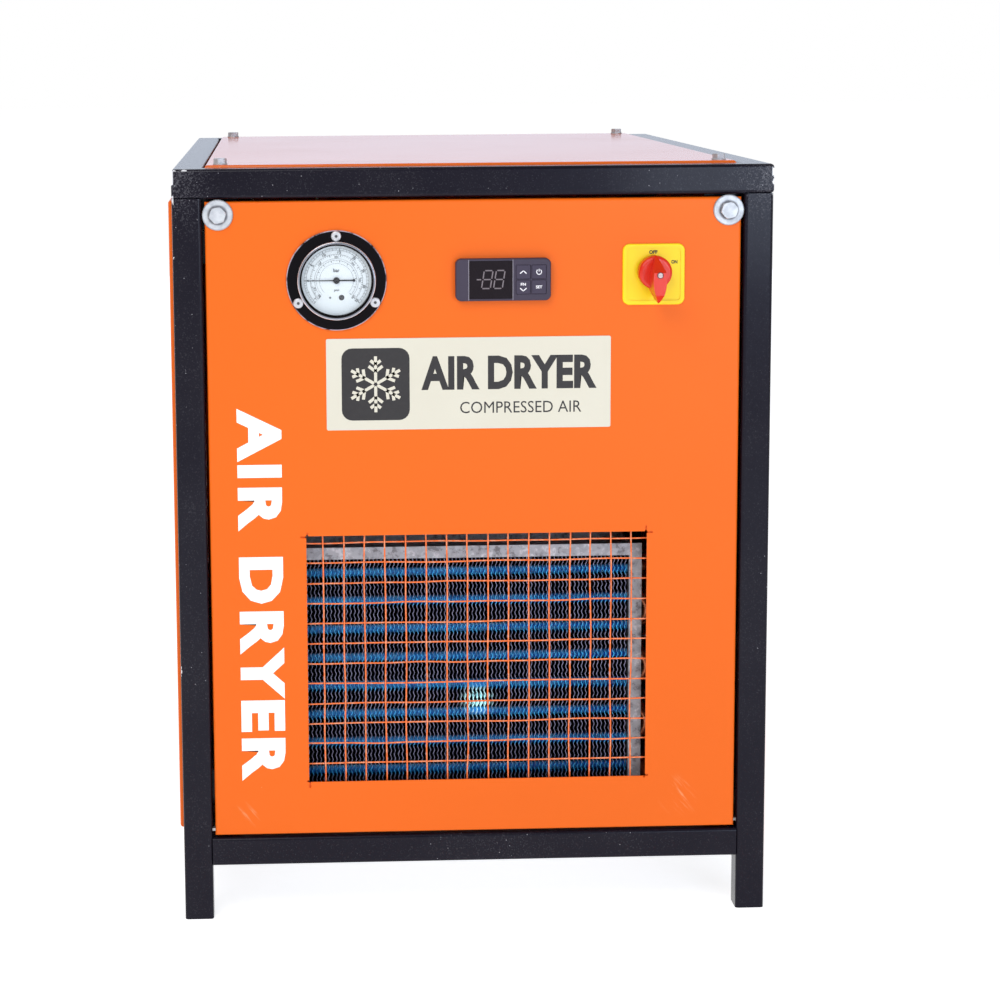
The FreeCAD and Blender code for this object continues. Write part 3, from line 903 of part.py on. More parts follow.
# ---- lines, drier and electrics ------------------------------------------------------------------
def make_lines(discharge, suction):
    """Copper lines: compressor to condenser, condenser to drier, capillary coil, exchanger to compressor."""
    first, last = tube_places()[-1], tube_places()[0]
    x_in, x_end = COND_X1 + 3.0 + COND_SHEET, COND_X0 - 3.0 - COND_SHEET
    side_x = x_end - 25.0
    b = 9.0
    over = COND_Z1 + 36.0
    out_x = x_in + 28
    lines = [pipe([discharge, V(discharge.x, -105, discharge.z), V(discharge.x, -125, over),
                   V(out_x, -200, over), V(out_x, first[0], over - 12), V(out_x, first[0], first[1]),
                   V(x_in, first[0], first[1])], LINE_R, LINE_WALL, b)]
    drier_top = V(DRIER_X, DRIER_Y, DRIER_Z + DRIER_L)
    drier_low = V(DRIER_X, DRIER_Y, DRIER_Z)
    lines.append(pipe([V(x_end, last[0], last[1]), V(side_x, last[0], last[1]), V(side_x, -250, last[1]),
                       V(DRIER_X, DRIER_Y, last[1]), drier_low], LINE_R, LINE_WALL, b))
    lines.append(pipe([suction, V(suction.x + 26, suction.y, suction.z), V(suction.x + 26, 100, suction.z),
                       V(HX_X0, 100, suction.z)], LINE_R, LINE_WALL, b))
    coil_c = V(-150, -60, 400)
    turn_pitch = 2 * CAP_TUBE_R + 0.2
    turns = [Part.makeTorus(COIL_R, CAP_TUBE_R, coil_c + Z * turn_pitch * i) for i in range(COIL_TURNS)]
    lines.append(pipe([drier_top, V(DRIER_X, DRIER_Y, 340), V(coil_c.x - COIL_R, coil_c.y, 380),
                       V(coil_c.x - COIL_R, coil_c.y, coil_c.z - CAP_TUBE_R)], CAP_TUBE_R, 0.5, b))
    top = coil_c.z + (COIL_TURNS - 1) * turn_pitch + CAP_TUBE_R
    lines.append(pipe([V(coil_c.x + COIL_R, coil_c.y, top), V(coil_c.x + COIL_R, coil_c.y, top + 30),
                       V(0, 60, top + 10), V(HX_X0 - 1.5, 80, top + 10)], CAP_TUBE_R, 0.5, b))
    y_stem = Y_FRONT + GAUGE_CASE_DEPTH + GAUGE_STEM_L
    lines.append(pipe([V(GAUGE_X, y_stem, GAUGE_Z), V(GAUGE_X, -250, GAUGE_Z), V(GAUGE_X + 60, -100, 420),
                       V(suction.x + 10, -60, suction.z + 60), V(suction.x + 10, suction.y, suction.z + 20),
                       V(suction.x + 10, suction.y, suction.z + LINE_R)], CAP_TUBE_R, 0.5, b))
    nodes["refrigerant_lines"] = group(*lines, *turns)
    can = moved(Part.makeCylinder(DRIER_R, DRIER_L), DRIER_X, DRIER_Y, DRIER_Z)
    nodes["filter_drier"] = can.makeFillet(7, [e for e in can.Edges if e.Curve.TypeId == "Part::GeomCircle"])


def make_electrics():
    x0, x1, y0, y1, z0, z1 = EBOX
    w = 2.5
    shell = box(x0, x1, y0, y1, z0, z1).cut(box(x0 + w, x1 - w, y0 + w, y1 - w, z0 + w, z1 - w))
    relay = box(x0 + 12, x0 + 57, y0 + w, y0 + 60, z0 + 20, z0 + 95)
    capacitor = rod(18, V(x1 - 28, y0 + 80, z0 + w), V(x1 - 28, y0 + 80, z0 + 90))
    rail = box(x0 + w, x1 - w, y1 - 12, y1 - w, z0 + 60, z0 + 95)
    y_mid = (y0 + y1) / 2
    hangers = [box(x - 10, x + 10, y_mid - 15, y_mid + 15, z1, Z_OPEN)
               .cut(box(x - 7, x + 11, y_mid - 16, y_mid + 16, z1 + 3, Z_OPEN + 1))
               for x in (x0 + 30, x1 - 30)]
    nodes["electrical_box"] = group(shell, relay, capacitor, rail, *hangers)
    y = Y_REAR + REAR_PROUD
    body = rod(GLAND_R, V(GLAND_X, y, GLAND_Z), V(GLAND_X, y + 8, GLAND_Z))
    dome = rod(GLAND_R - 1.5, V(GLAND_X, y + 7, GLAND_Z), V(GLAND_X, y + GLAND_OUT, GLAND_Z))
    rim = [e for e in dome.Edges if e.Curve.TypeId == "Part::GeomCircle" and e.BoundBox.YMin > y + 10]
    dome = dome.makeFillet(4, rim)
    inner = y - PANEL_T
    thread = rod(GLAND_THREAD_R, V(GLAND_X, inner - GLAND_NUT_T - 3, GLAND_Z), V(GLAND_X, y + 1, GLAND_Z))
    nut = rod(GLAND_R, V(GLAND_X, inner - GLAND_NUT_T, GLAND_Z), V(GLAND_X, inner, GLAND_Z))
    gland = fused(body, dome, thread, nut)
    bore = rod(GLAND_BORE_R, V(GLAND_X, y - 20, GLAND_Z), V(GLAND_X, y + GLAND_OUT + 1, GLAND_Z))
    nodes["cable_gland"] = gland.cut(bore)


def main():
    make_frame()
    make_tabs()
    make_base_tray()
    make_front_panel()
    make_side_panels()
    make_top_panel()
    make_rear_panel()
    make_fasteners()
    make_mesh()
    make_name_plate()
    make_gauge()
    make_controller()
    make_switch()
    make_condenser()
    make_fan()
    discharge, suction = make_compressor()
    make_air_side()
    make_lines(discharge, suction)
    make_electrics()
    os.makedirs("parts", exist_ok=True)
    for name, shape in nodes.items():
        if not shape.isValid():
            print("not valid:", name)
        shape.exportStep("parts/" + name + ".step")
    print(len(nodes), "nodes")


main()
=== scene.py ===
"""Looks for a refrigerated compressed-air dryer: a finish for every piece of the plain model, and the
finer pieces that it leaves out, such as the rippled fins, the uneven wire mesh, the dial's print and the
welds.

Metres.  X runs to the right, Y to the back and Z up, as in the frame.  Every piece lies in place in its
own mesh, with its object at the origin.
"""
import functools
import math

import bpy
import numpy as np
from bpy.props import FloatProperty, FloatVectorProperty, IntProperty, PointerProperty, StringProperty
from bpy.types import Operator, Panel, PropertyGroup
from mathutils import Matrix, Vector


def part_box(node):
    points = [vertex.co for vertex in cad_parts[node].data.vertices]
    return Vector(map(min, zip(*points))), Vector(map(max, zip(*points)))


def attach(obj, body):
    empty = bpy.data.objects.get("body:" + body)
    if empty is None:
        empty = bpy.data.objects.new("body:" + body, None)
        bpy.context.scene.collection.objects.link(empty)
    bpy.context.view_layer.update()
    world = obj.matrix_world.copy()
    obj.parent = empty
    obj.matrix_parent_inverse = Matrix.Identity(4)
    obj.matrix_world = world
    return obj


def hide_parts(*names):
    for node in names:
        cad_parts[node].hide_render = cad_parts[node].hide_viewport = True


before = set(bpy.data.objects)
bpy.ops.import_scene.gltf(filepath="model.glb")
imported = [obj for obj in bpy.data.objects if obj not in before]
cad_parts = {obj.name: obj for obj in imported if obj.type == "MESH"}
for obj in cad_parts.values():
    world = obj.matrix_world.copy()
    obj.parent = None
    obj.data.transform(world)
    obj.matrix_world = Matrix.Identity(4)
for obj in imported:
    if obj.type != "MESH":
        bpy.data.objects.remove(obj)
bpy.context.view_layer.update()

bl_info = {
    "name": "Air dryer looks",
    "version": (1, 0, 0),
    "blender": (4, 5, 0),
    "location": "3D View > Sidebar > Air dryer",
    "description": "Finishes and fine pieces of a refrigerated compressed-air dryer",
    "category": "Object",
}

MM = 0.001
UPRIGHT = Matrix.Rotation(math.pi / 2, 4, "X")     # lays the XY plane of a drawing on a front face
TURN = 2 * math.pi
FINE_INK, INK, HEAVY_INK = 0.03 * MM, 0.04 * MM, 0.05 * MM     # thickness of printed marks
BEAD_R = 2.1 * MM                                  # weld run in a corner of the frame
WIRE_R, WIRE_PITCH = 0.7 * MM, 17.8 * MM           # window mesh
TUBE_ROWS, TUBE_BANKS, COLLAR_R = 9, 3, 5.3 * MM   # condenser tubes and their collars
FIN_SHEET = 0.5 * MM
HEAD_HIGH = 4.4 * MM                               # a corner bolt's head in front of its washer
WASHER_R = 13 * MM                                 # a corner bolt's washer
SCREW_HEAD = 4.3 / 37.6                            # a gauge screw's head against its reach from the dial


# ---- places read from the frame ----
def middle(node):
    low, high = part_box(node)
    return (low + high) / 2


def face_front(node):
    """The y of a node's foremost point."""
    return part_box(node)[0].y


def half_width(node):
    low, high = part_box(node)
    return (high.x - low.x) / 2


PANEL_FACE = face_front("name_plate") + 0.6 * MM
POST_LOW, POST_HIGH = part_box("front_left_post")
TUBE_SIDE = POST_HIGH.x - POST_LOW.x
OUTER_X, OUTER_Y = -POST_LOW.x, -POST_LOW.y
OUTER_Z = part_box("top_front_rail")[1].z
RAIL_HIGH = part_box("bottom_front_rail")[1].z
DIAL = middle("gauge_dial")
DIAL_R, BEZEL_R = half_width("gauge_dial"), half_width("gauge_bezel")
BEZEL_FACE = face_front("gauge_bezel")
CASE = middle("controller_case")
PLATE = middle("switch_plate")
AXIS = middle("switch_knob_cap")
FIN_LOW, FIN_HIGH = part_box("condenser_fins")
BENT_FINS = (4.0 * MM, FIN_LOW.y, 186.0 * MM)      # spot where some fins are bent over


# ---- meshes ----
def tube_faces(count, rings, sides):
    """Faces of closed tubes, each a skin round its rings of points with a cap at both ends."""
    i, j = np.arange(rings - 1)[:, None] * sides, np.arange(sides)[None, :]
    right = (j + 1) % sides
    skin = np.stack([i + j, i + right, i + sides + right, i + sides + j], -1).reshape(-1, 4)
    caps = np.stack([np.arange(sides)[::-1], np.arange(sides) + (rings - 1) * sides])
    faces = []
    for first in range(0, count * rings * sides, rings * sides):
        faces += (skin + first).tolist() + (caps + first).tolist()
    return faces


def placed(name, data):
    """A new object in the scene."""
    made = bpy.data.objects.new(name, data)
    bpy.context.scene.collection.objects.link(made)
    return made


def meshed(name, points, faces, material, smooth=False):
    """A new object from points (n, 3) and faces."""
    mesh = bpy.data.meshes.new(name)
    mesh.from_pydata(np.asarray(points, float).reshape(-1, 3).tolist(), [], faces)
    mesh.polygons.foreach_set("use_smooth", np.full(len(mesh.polygons), smooth))
    mesh.materials.append(material)
    mesh.update()
    return placed(name, mesh)


def piece(name, points, faces, material, slot, body="cabinet", smooth=False):
    """A new piece of the dryer, with its finish, riding on a body.  The slot argument is not used."""
    made = meshed(name, points, faces, material, smooth)
    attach(made, body)
    return made


def rods(paths, radius, sides):
    """Round rods along many paths at once: paths (k, n, 3).  A ring at each point is the path's point plus
    radius times cosine and sine of the angle, along two directions square to the path."""
    along = np.gradient(paths, axis=1)
    along /= np.linalg.norm(along, axis=2, keepdims=True)
    back = np.zeros_like(along)
    back[..., 1] = 1.0
    back -= along * (back * along).sum(2, keepdims=True)
    back /= np.linalg.norm(back, axis=2, keepdims=True)
    side = np.cross(back, along)
    angle = (np.arange(sides) / sides * TURN)[None, None, :, None]
    radius = np.broadcast_to(radius, paths.shape[:2])[..., None, None]
    rings = paths[:, :, None] + radius * (np.cos(angle) * side[:, :, None] + np.sin(angle) * back[:, :, None])
    return rings.reshape(-1, 3), tube_faces(*paths.shape[:2], sides)


def bars(ends, widths, front, thick=INK):
    """Flat bars on a front face: ends (k, 2, 2) hold the two (x, z) ends of each bar's middle line.  Each
    corner is an end plus or minus half the width, square to the bar, and the bar stands thick in front."""
    ends = np.asarray(ends, float)
    run = ends[:, 1] - ends[:, 0]
    run /= np.linalg.norm(run, axis=1, keepdims=True)
    square = np.stack([-run[:, 1], run[:, 0]], -1) * np.broadcast_to(widths, len(ends))[:, None] / 2
    start, end = ends[:, 0], ends[:, 1]
    outline = np.stack([start - square, end - square, end + square, start + square], 1)
    return slabs(outline, front, thick)


def slabs(outlines, front, thick):
    """Flat plates from outlines (k, n, 2) of (x, z) points, anticlockwise seen from the front."""
    count, corners = outlines.shape[:2]
    points = np.zeros((count, 2, corners, 3))
    points[..., 0] = outlines[:, None, :, 0]
    points[..., 2] = outlines[:, None, :, 1]
    points[:, 0, :, 1] = front
    points[:, 1, :, 1] = front - thick
    return points.reshape(-1, 3), tube_faces(count, 2, corners)


def joined(*parts):
    """One set of points and faces from several."""
    points, faces, first = [], [], 0
    for some_points, some_faces in parts:
        points.append(np.asarray(some_points, float).reshape(-1, 3))
        faces += [[corner + first for corner in face] for face in some_faces]
        first += len(points[-1])
    return np.concatenate(points), faces


def lettering(words, centre, width, height, weight=0.0, turn=0.0, spread=1.0):
    """Words as thin raised ink that fill width by height, centred on a front face at (x, y, z)."""
    curve = bpy.data.curves.new("words", "FONT")
    curve.body = words
    curve.offset = weight
    curve.space_character = spread
    curve.resolution_u = 3
    curve.extrude = 0.01
    drawn = bpy.data.objects.new("words", curve)
    mesh = bpy.data.meshes.new_from_object(drawn)
    points = np.zeros(len(mesh.vertices) * 3)
    mesh.vertices.foreach_get("co", points)
    points = points.reshape(-1, 3)
    faces = [list(polygon.vertices) for polygon in mesh.polygons]
    bpy.data.objects.remove(drawn)
    bpy.data.curves.remove(curve)
    bpy.data.meshes.remove(mesh)
    low, high = points.min(0), points.max(0)
    points = (points - (low + high) / 2) / (high - low) * np.array([width, height, HEAVY_INK])
    matrix = np.array(Matrix.Translation(centre) @ UPRIGHT @ Matrix.Rotation(turn, 4, "Z"))
    return points @ matrix[:3, :3].T + matrix[:3, 3], faces


def rounded_outline(x, z, width, height, corner, steps=6):
    """Outline of a rectangle with round corners: quarter circles about the four corner centres."""
    angle = np.linspace(0, math.pi / 2, steps)
    quarters = []
    for quarter, (sx, sz) in enumerate(((1, 1), (-1, 1), (-1, -1), (1, -1))):
        centre = np.array([x + sx * (width / 2 - corner), z + sz * (height / 2 - corner)])
        turned = angle + quarter * math.pi / 2
        quarters.append(centre + corner * np.stack([np.cos(turned), np.sin(turned)], -1))
    return np.concatenate(quarters)


# ---- shader building ----
class Value:
    """A number that varies over a surface; arithmetic on it adds Math nodes."""

    def __init__(self, finish, socket):
        self.finish, self.socket = finish, socket

    def math(self, operation, *others):
        node = self.finish.node("Math", dict(enumerate((self,) + others)), operation=operation)
        return Value(self.finish, node.outputs[0])

    def __add__(self, other):
        return self.math("ADD", other)

    def __sub__(self, other):
        return self.math("SUBTRACT", other)

    def __mul__(self, other):
        return self.math("MULTIPLY", other)

    def __rsub__(self, other):
        return (self * -1.0).math("ADD", other)

    def __abs__(self):
        return self.math("ABSOLUTE")

    __radd__, __rmul__ = __add__, __mul__

    def most(self, other):
        return self.math("MAXIMUM", other)

    def ease(self, low, high):
        """0 below low, 1 above high, smooth between; high may be under low."""
        flip = high < low
        if flip:
            low, high = high, low
        sockets = {"Value": self, "From Min": low, "From Max": high,
                   "To Min": float(flip), "To Max": float(not flip)}
        node = self.finish.node("MapRange", sockets, interpolation_type="SMOOTHSTEP")
        return Value(self.finish, node.outputs[0])


class Finish:
    """A material in the making.  `node` adds any shader node: its kind, what its sockets get, and its
    settings."""

    def __init__(self, name):
        self.material = bpy.data.materials.new(name)
        self.material.use_nodes = True
        self.tree = self.material.node_tree
        self.tree.nodes.clear()
        self.place = self.node("TexCoord").outputs["Object"]

    def node(self, kind, sockets=None, **settings):
        made = self.tree.nodes.new("ShaderNode" + kind)
        for key, value in settings.items():
            setattr(made, key, value)
        for key, value in (sockets or {}).items():
            if isinstance(value, Value):
                value = value.socket
            if isinstance(value, bpy.types.NodeSocket):
                self.tree.links.new(value, made.inputs[key])
            else:
                made.inputs[key].default_value = value
        return made

    def axes(self):
        node = self.node("SeparateXYZ", {0: self.place})
        return [Value(self, out) for out in node.outputs]

    def noise(self, scale, detail=2.0, rough=0.5, place=None, warp=0.0):
        sockets = {"Vector": place or self.place, "Scale": scale, "Detail": detail,
                   "Roughness": rough, "Distortion": warp}
        return Value(self, self.node("TexNoise", sockets).outputs[0])

    def cells(self, scale):
        """Distance to the nearest of scattered points, and a random number for each point."""
        node = self.node("TexVoronoi", {"Vector": self.place, "Scale": scale})
        each = self.node("SeparateColor", {0: node.outputs["Color"]})
        return Value(self, node.outputs["Distance"]), Value(self, each.outputs[0])

    def brushed(self, turn, stretch, detail, rough):
        """Noise turned about the three axes, then stretched, for drawn lines and scratches."""
        turned = self.node("Mapping", {"Vector": self.place, "Rotation": turn}).outputs[0]
        place = self.node("Mapping", {"Vector": turned, "Scale": stretch}).outputs[0]
        return self.noise(1.0, detail, rough, place)

    def near(self, point, reach, edge):
        """1 within reach of a point, fading to 0 over edge."""
        node = self.node("VectorMath", {0: self.place, 1: point}, operation="DISTANCE")
        return Value(self, node.outputs["Value"]).ease(reach + edge, reach)

    def blend(self, share, first, second):
        """A colour between two, by share."""
        return self.node("Mix", {0: share, 6: first, 7: second}, data_type="RGBA").outputs[2]

    def surface(self, colour, rough, relief=None, **uniform):
        """Ends the material with one shader.  relief is the height and depth of its bumps; uniform values go
        straight on the shader's sockets."""
        sockets = {"Base Color": colour, "Roughness": rough}
        if relief:
            bump = self.node("Bump", dict(zip(("Height", "Distance"), relief)))
            sockets["Normal"] = bump.outputs[0]
        sockets.update({key.replace("_", " "): value for key, value in uniform.items()})
        shader = self.node("BsdfPrincipled", sockets)
        self.node("OutputMaterial", {"Surface": shader.outputs[0]})
        return self.material


def tint(red, green, blue):
    """A shader colour from red, green and blue as a screen shows them, 0 to 255."""
    shown = np.array([red, green, blue]) / 255
    linear = np.where(shown <= 0.04045, shown / 12.92, ((shown + 0.055) / 1.055) ** 2.4)
    return (*linear.tolist(), 1.0)


def shade(colour, share):
    """A colour darkened to a share of itself."""
    return tuple(c * share for c in colour[:3]) + (1.0,)


@functools.cache
def finish(maker, *values):
    """The material that a maker function builds from these values, built once."""
    return maker(*values)


def dress(names, maker, *values):
    """Gives CAD nodes, named in one string, the finish that a maker builds from these values."""
    for name in names.split():
        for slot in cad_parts[name].material_slots:
            slot.material = finish(maker, *values)


def settings():
    """The sizes and colours in the sidebar."""
    return bpy.context.scene.dryer_looks


# ---- finishes ----
def orange_coat(rough, depth, gloss):
    """Powder coat on folded sheet: fine orange peel, a slow ripple of the sheet, a slightly uneven tone,
    faint pale scuffs low on the front and dust specks.  rough is its sheen, depth its peel in metres."""
    f = Finish("orange_coat")
    base = tuple(settings().orange) + (1.0,)
    peel = f.noise(360.0, 2.0)
    swell = f.noise(5.0, 1.0)
    tone = f.noise(2.4, 3.0, 0.6).ease(0.3, 0.7)
    streaks = f.brushed((0.0, 0.7, 0.0), (260.0, 200.0, 26.0), 4.0, 0.65)
    region = f.near((0.18, PANEL_FACE, 0.104), 0.006, 0.016)
    region = region.most(f.near((-0.2, PANEL_FACE, 0.093), 0.003, 0.012))
    scuff = region * streaks.ease(0.52, 0.68) * 0.3
    distance, chosen = f.cells(70.0)
    speck = distance.ease(0.03, 0.018) * chosen.ease(0.86, 0.88) * 0.45
    colour = f.blend(tone * 0.35, base, shade(base, 0.88))
    colour = f.blend(scuff.most(speck), colour, tint(255, 196, 150))
    shine = rough + scuff * 0.25 + tone * 0.05
    relief = (peel + swell * 14.0 + streaks * region * 0.6, depth)
    return f.surface(colour, shine, relief, Specular_IOR_Level=0.25, Coat_Weight=gloss, Coat_Roughness=0.08)


def edge_wear_and_highlight(f):
    """1 on the long outer corners of the frame, where two of the three outer faces meet."""
    outer = zip(f.axes(), (OUTER_X, OUTER_Y, OUTER_Z))
    x, y, z = (abs(axis).ease(edge - 2.2 * MM, edge - 0.9 * MM) for axis, edge in outer)
    return (x * y).most(y * z).most(x * z)


def black_enamel():
    """Thick black enamel on steel tube: coarse grain, brushed lumps, dust specks that gather towards the
    corners, a few scratches, and pale marks along the outer corners: partly paint chipped to pale primer,
    partly a painted highlight where the rounded corners catch the light."""
    f = Finish("black_enamel")
    base = tuple(settings().black) + (1.0,)
    grain = f.noise(620.0, 3.0, 0.62)
    lumps = f.noise(75.0, 2.0)
    cloud = f.noise(9.0, 3.0, 0.6)
    x, y, z = (abs(axis) for axis in f.axes())
    corner = x.ease(OUTER_X - 0.05, OUTER_X) * z.ease(OUTER_Z - 0.07, OUTER_Z - 0.01)
    corner = corner * y.ease(OUTER_Y - 0.15, OUTER_Y - 0.03)
    distance, chosen = f.cells(330.0)
    specks = distance.ease(0.16, 0.06) * (chosen * 0.7 + corner * 0.16 + cloud * 0.5).ease(0.93, 0.95)
    grit = (f.noise(900.0, 2.0) + cloud * 0.2 + corner * 0.12).ease(0.66, 0.9) * (corner * 0.08 + 0.04)
    lines = f.brushed((0.4, 0.5, 0.3), (420.0, 420.0, 16.0), 3.0, 0.7)
    scratch = lines.ease(0.72, 0.75) * cloud.ease(0.52, 0.62) * 0.6
    # Pale outer corners: partly chipped paint, partly a painted highlight of the rounded tube corners.
    chips_and_edge_highlight = edge_wear_and_highlight(f) * (f.noise(90.0, 4.0, 0.6) * 0.6 + cloud * 0.4 + corner * 0.1).ease(0.625, 0.65)
    dirt = (specks * 0.6).most(grit).most(scratch)
    colour = f.blend(cloud.ease(0.35, 0.7) * 0.35, base, tint(32, 30, 38))
    colour = f.blend(dirt, colour, tint(205, 205, 214))
    colour = f.blend(chips_and_edge_highlight, colour, tint(236, 236, 240))
    rough = 0.13 + grain * 0.14 + dirt * 0.3
    relief = (grain + lumps * 1.2 - chips_and_edge_highlight * 1.5, 0.00009)
    return f.surface(colour, rough, relief, Specular_IOR_Level=0.1, Specular_Tint=(0.84, 0.86, 1.0, 1.0),
                     Coat_Weight=0.16, Coat_Roughness=0.12)


def zinc_plate():
    """Zinc-plated steel, a little cloudy, with handling scratches; painted shade as a dark ring on each
    washer round the foot of its big hex head, and as a darker ring along each washer's outer edge.
    """
    f = Finish("zinc_plate")
    cloud = f.noise(140.0, 3.0, 0.6)
    lines = f.brushed((0.3, 0.9, 0.2), (900.0, 900.0, 60.0), 3.0, 0.6)
    x, y, z = f.axes()
    low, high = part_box("corner_bolts")
    across, up = abs(x) - (high.x - WASHER_R), z - (high.z - WASHER_R)
    radius = (across * across + up * up).math("SQRT")
    flat = y.ease(low.y + HEAD_HIGH, low.y + HEAD_HIGH + 0.6 * MM)
    # Painted shade: a dark ring on the washer round the foot of the hex head, where head and washer meet.
    head_foot_shade = flat * radius.ease(9.4 * MM, 7.6 * MM)
    # Painted shade: a darker ring along the washer's rounded outer edge.
    rim = radius.ease(11.6 * MM, 12.4 * MM) * radius.ease(13.4 * MM, 12.9 * MM)
    colour = f.blend(cloud.ease(0.3, 0.75), tint(208, 211, 216), tint(176, 180, 188))
    colour = f.blend(head_foot_shade * (0.5 + cloud * 0.5), colour, tint(84, 82, 90))
    colour = f.blend(rim * 0.5, colour, tint(150, 152, 160))
    relief = (lines * 0.6 + cloud * 0.4, 0.00002)
    return f.surface(colour, 0.4 + cloud * 0.16, relief, Metallic=0.6)


def galvanised_sheet():
    """Hot-dip galvanised sheet: spangles of slightly different grey, white storage stain and dark dirt."""
    f = Finish("galvanised_sheet")
    _, spangle = f.cells(170.0)
    stain = f.noise(130.0, 6.0, 0.72)
    pits = f.noise(700.0, 2.0)
    colour = f.blend(spangle, tint(160, 161, 168), tint(180, 181, 188))
    colour = f.blend(stain.ease(0.54, 0.66) * 0.8, colour, tint(216, 214, 220))
    colour = f.blend(stain.ease(0.48, 0.36) * 0.7, colour, tint(88, 80, 84))
    relief = (pits + spangle * 0.3, 0.00004)
    return f.surface(colour, 0.42 + stain * 0.3, relief, Metallic=0.35)


def moulding(name, red, green, blue, rough, grain):
    """Moulded plastic or rubber: one colour with a slight cloudiness and a fine texture of given depth."""
    f = Finish(name)
    base = tint(red, green, blue)
    cloud = f.noise(30.0, 3.0)
    texture = f.noise(900.0, 2.0, 0.6)
    colour = f.blend(cloud.ease(0.3, 0.75) * 0.5, base, shade(base, 0.82))
    relief = (texture + cloud * 0.5, grain)
    return f.surface(colour, rough + cloud * 0.1, relief, Specular_IOR_Level=0.35)


def bare_metal(name, red, green, blue, rough, stain_share):
    """Bare or plated metal with drawn lines, clouded where it has been handled."""
    f = Finish(name)
    base = tint(red, green, blue)
    cloud = f.noise(55.0, 4.0, 0.6)
    lines = f.brushed((0.1, 0.2, 0.3), (1200.0, 1200.0, 90.0), 2.0, 0.5)
    colour = f.blend(cloud.ease(0.45, 0.75) * stain_share, base, shade(base, 0.45))
    relief = (lines + cloud, 0.00002)
    return f.surface(colour, rough + cloud * 0.18, relief, Metallic=1.0)


def flange_enamel():
    """Gloss black enamel on the gauge's flange, with a painted highlight: a broken pale ring just inside its
    outer edge.
    """
    f = Finish("flange_enamel")
    blotches = f.noise(140.0, 3.0, 0.6)
    centre = (DIAL.x, PANEL_FACE - 1.5 * MM, DIAL.z)
    # Painted highlight: a pale ring just inside the flange's outer edge, broken up by noise.
    edge = 1.0 - f.near(centre, half_width("gauge_case") - 1.0 * MM, 0.6 * MM)
    colour = f.blend(edge * blotches.ease(0.3, 0.55) * 0.75, tint(8, 5, 10), tint(206, 196, 210))
    return f.surface(colour, 0.16 + blotches * 0.1, (blotches, 0.00001), Specular_IOR_Level=0.1)


def chrome_ring():
    """Bright chrome on the rim of the bezel, with a painted highlight along its outer crest; its inner slope
    is coloured near black.
    """
    f = Finish("chrome_ring")
    cloud = f.noise(90.0, 3.0)
    centre = (DIAL.x, BEZEL_FACE, DIAL.z)
    slope = f.near(centre, BEZEL_R - 2.0 * MM, 0.15 * MM)
    # Painted highlight: a near-white line along the bezel's outer crest.
    crest_highlight = 1.0 - f.near(centre, BEZEL_R - 0.7 * MM, 0.2 * MM)
    colour = f.blend(cloud, tint(156, 158, 168), tint(120, 122, 134))
    colour = f.blend(crest_highlight, colour, tint(236, 238, 244))
    colour = f.blend(slope, colour, tint(26, 25, 28))
    return f.surface(colour, 0.1 + cloud * 0.1, (cloud, 0.00001), Metallic=0.75)


def window_glass():
    """Thin clear glass: it reflects by its angle and lets the rest through, with a breath of dust."""
    f = Finish("window_glass")
    dust = f.noise(260.0, 4.0, 0.7).ease(0.5, 0.85)
    gloss = f.node("BsdfAnisotropic", {"Color": tint(250, 252, 255), "Roughness": 0.03})
    clear = f.node("BsdfTransparent", {"Color": (0.99, 0.995, 0.995, 1.0)})
    facing = Value(f, f.node("LayerWeight", {"Blend": 0.5}).outputs[1])
    share = facing.math("POWER", 5.0) * 0.6 + dust * 0.02 + 0.012
    mixed = f.node("MixShader", {0: share, 1: clear.outputs[0], 2: gloss.outputs[0]})
    f.node("OutputMaterial", {"Surface": mixed.outputs[0]})
    return f.material


def dial_enamel():
    """White dial enamel, faintly blue, darker towards its rim; the zero adjuster and its stop are black.
    A little light of its own stands in for what the clear glass and deep case let through."""
    f = Finish("dial_enamel")
    rim = 1.0 - f.near((DIAL.x, DIAL.y, DIAL.z), DIAL_R * 0.8, DIAL_R * 0.3)
    mottle = f.noise(420.0, 3.0)
    adjuster = f.near((DIAL.x + 4.2 * MM, DIAL.y, DIAL.z - 14.6 * MM), 2.3 * MM, 0.1 * MM)
    stop = f.near((DIAL.x - 5.5 * MM, DIAL.y, DIAL.z - 14.6 * MM), 0.9 * MM, 0.1 * MM)
    colour = f.blend(rim * 0.45 + mottle * 0.15, tint(222, 229, 234), tint(190, 198, 206))
    colour = f.blend(adjuster.most(stop), colour, tint(34, 34, 40))
    return f.surface(colour, 0.42 + mottle * 0.1, (mottle, 0.00001),
                     Emission_Color=(0.9, 0.96, 1.0, 1.0), Emission_Strength=0.05)


def screw_zinc():
    """Zinc on the gauge's pan heads, with painted shade: a dark dot where each head's recess lies."""
    f = Finish("screw_zinc")
    cloud = f.noise(300.0, 3.0)
    tilt = math.cos(math.radians(30))
    reach = half_width("gauge_screws") / tilt / (1 + SCREW_HEAD / tilt)
    # Painted shade: a dark dot where each screw head's recess lies.
    recess_shade = None
    for angle in (math.radians(degrees) for degrees in (90, 210, 330)):
        spot = Vector((DIAL.x, face_front("gauge_screws") + 1.0 * MM, DIAL.z))
        spot += reach * Vector((math.cos(angle), 0.0, math.sin(angle)))
        dot = f.near(tuple(spot), 1.5 * MM, 0.2 * MM)
        recess_shade = dot if recess_shade is None else recess_shade.most(dot)
    colour = f.blend(cloud, tint(214, 214, 218), tint(188, 190, 196))
    colour = f.blend(recess_shade * 0.85, colour, tint(40, 38, 42))
    return f.surface(colour, 0.26 + cloud * 0.15, (cloud, 0.00002), Metallic=0.5)


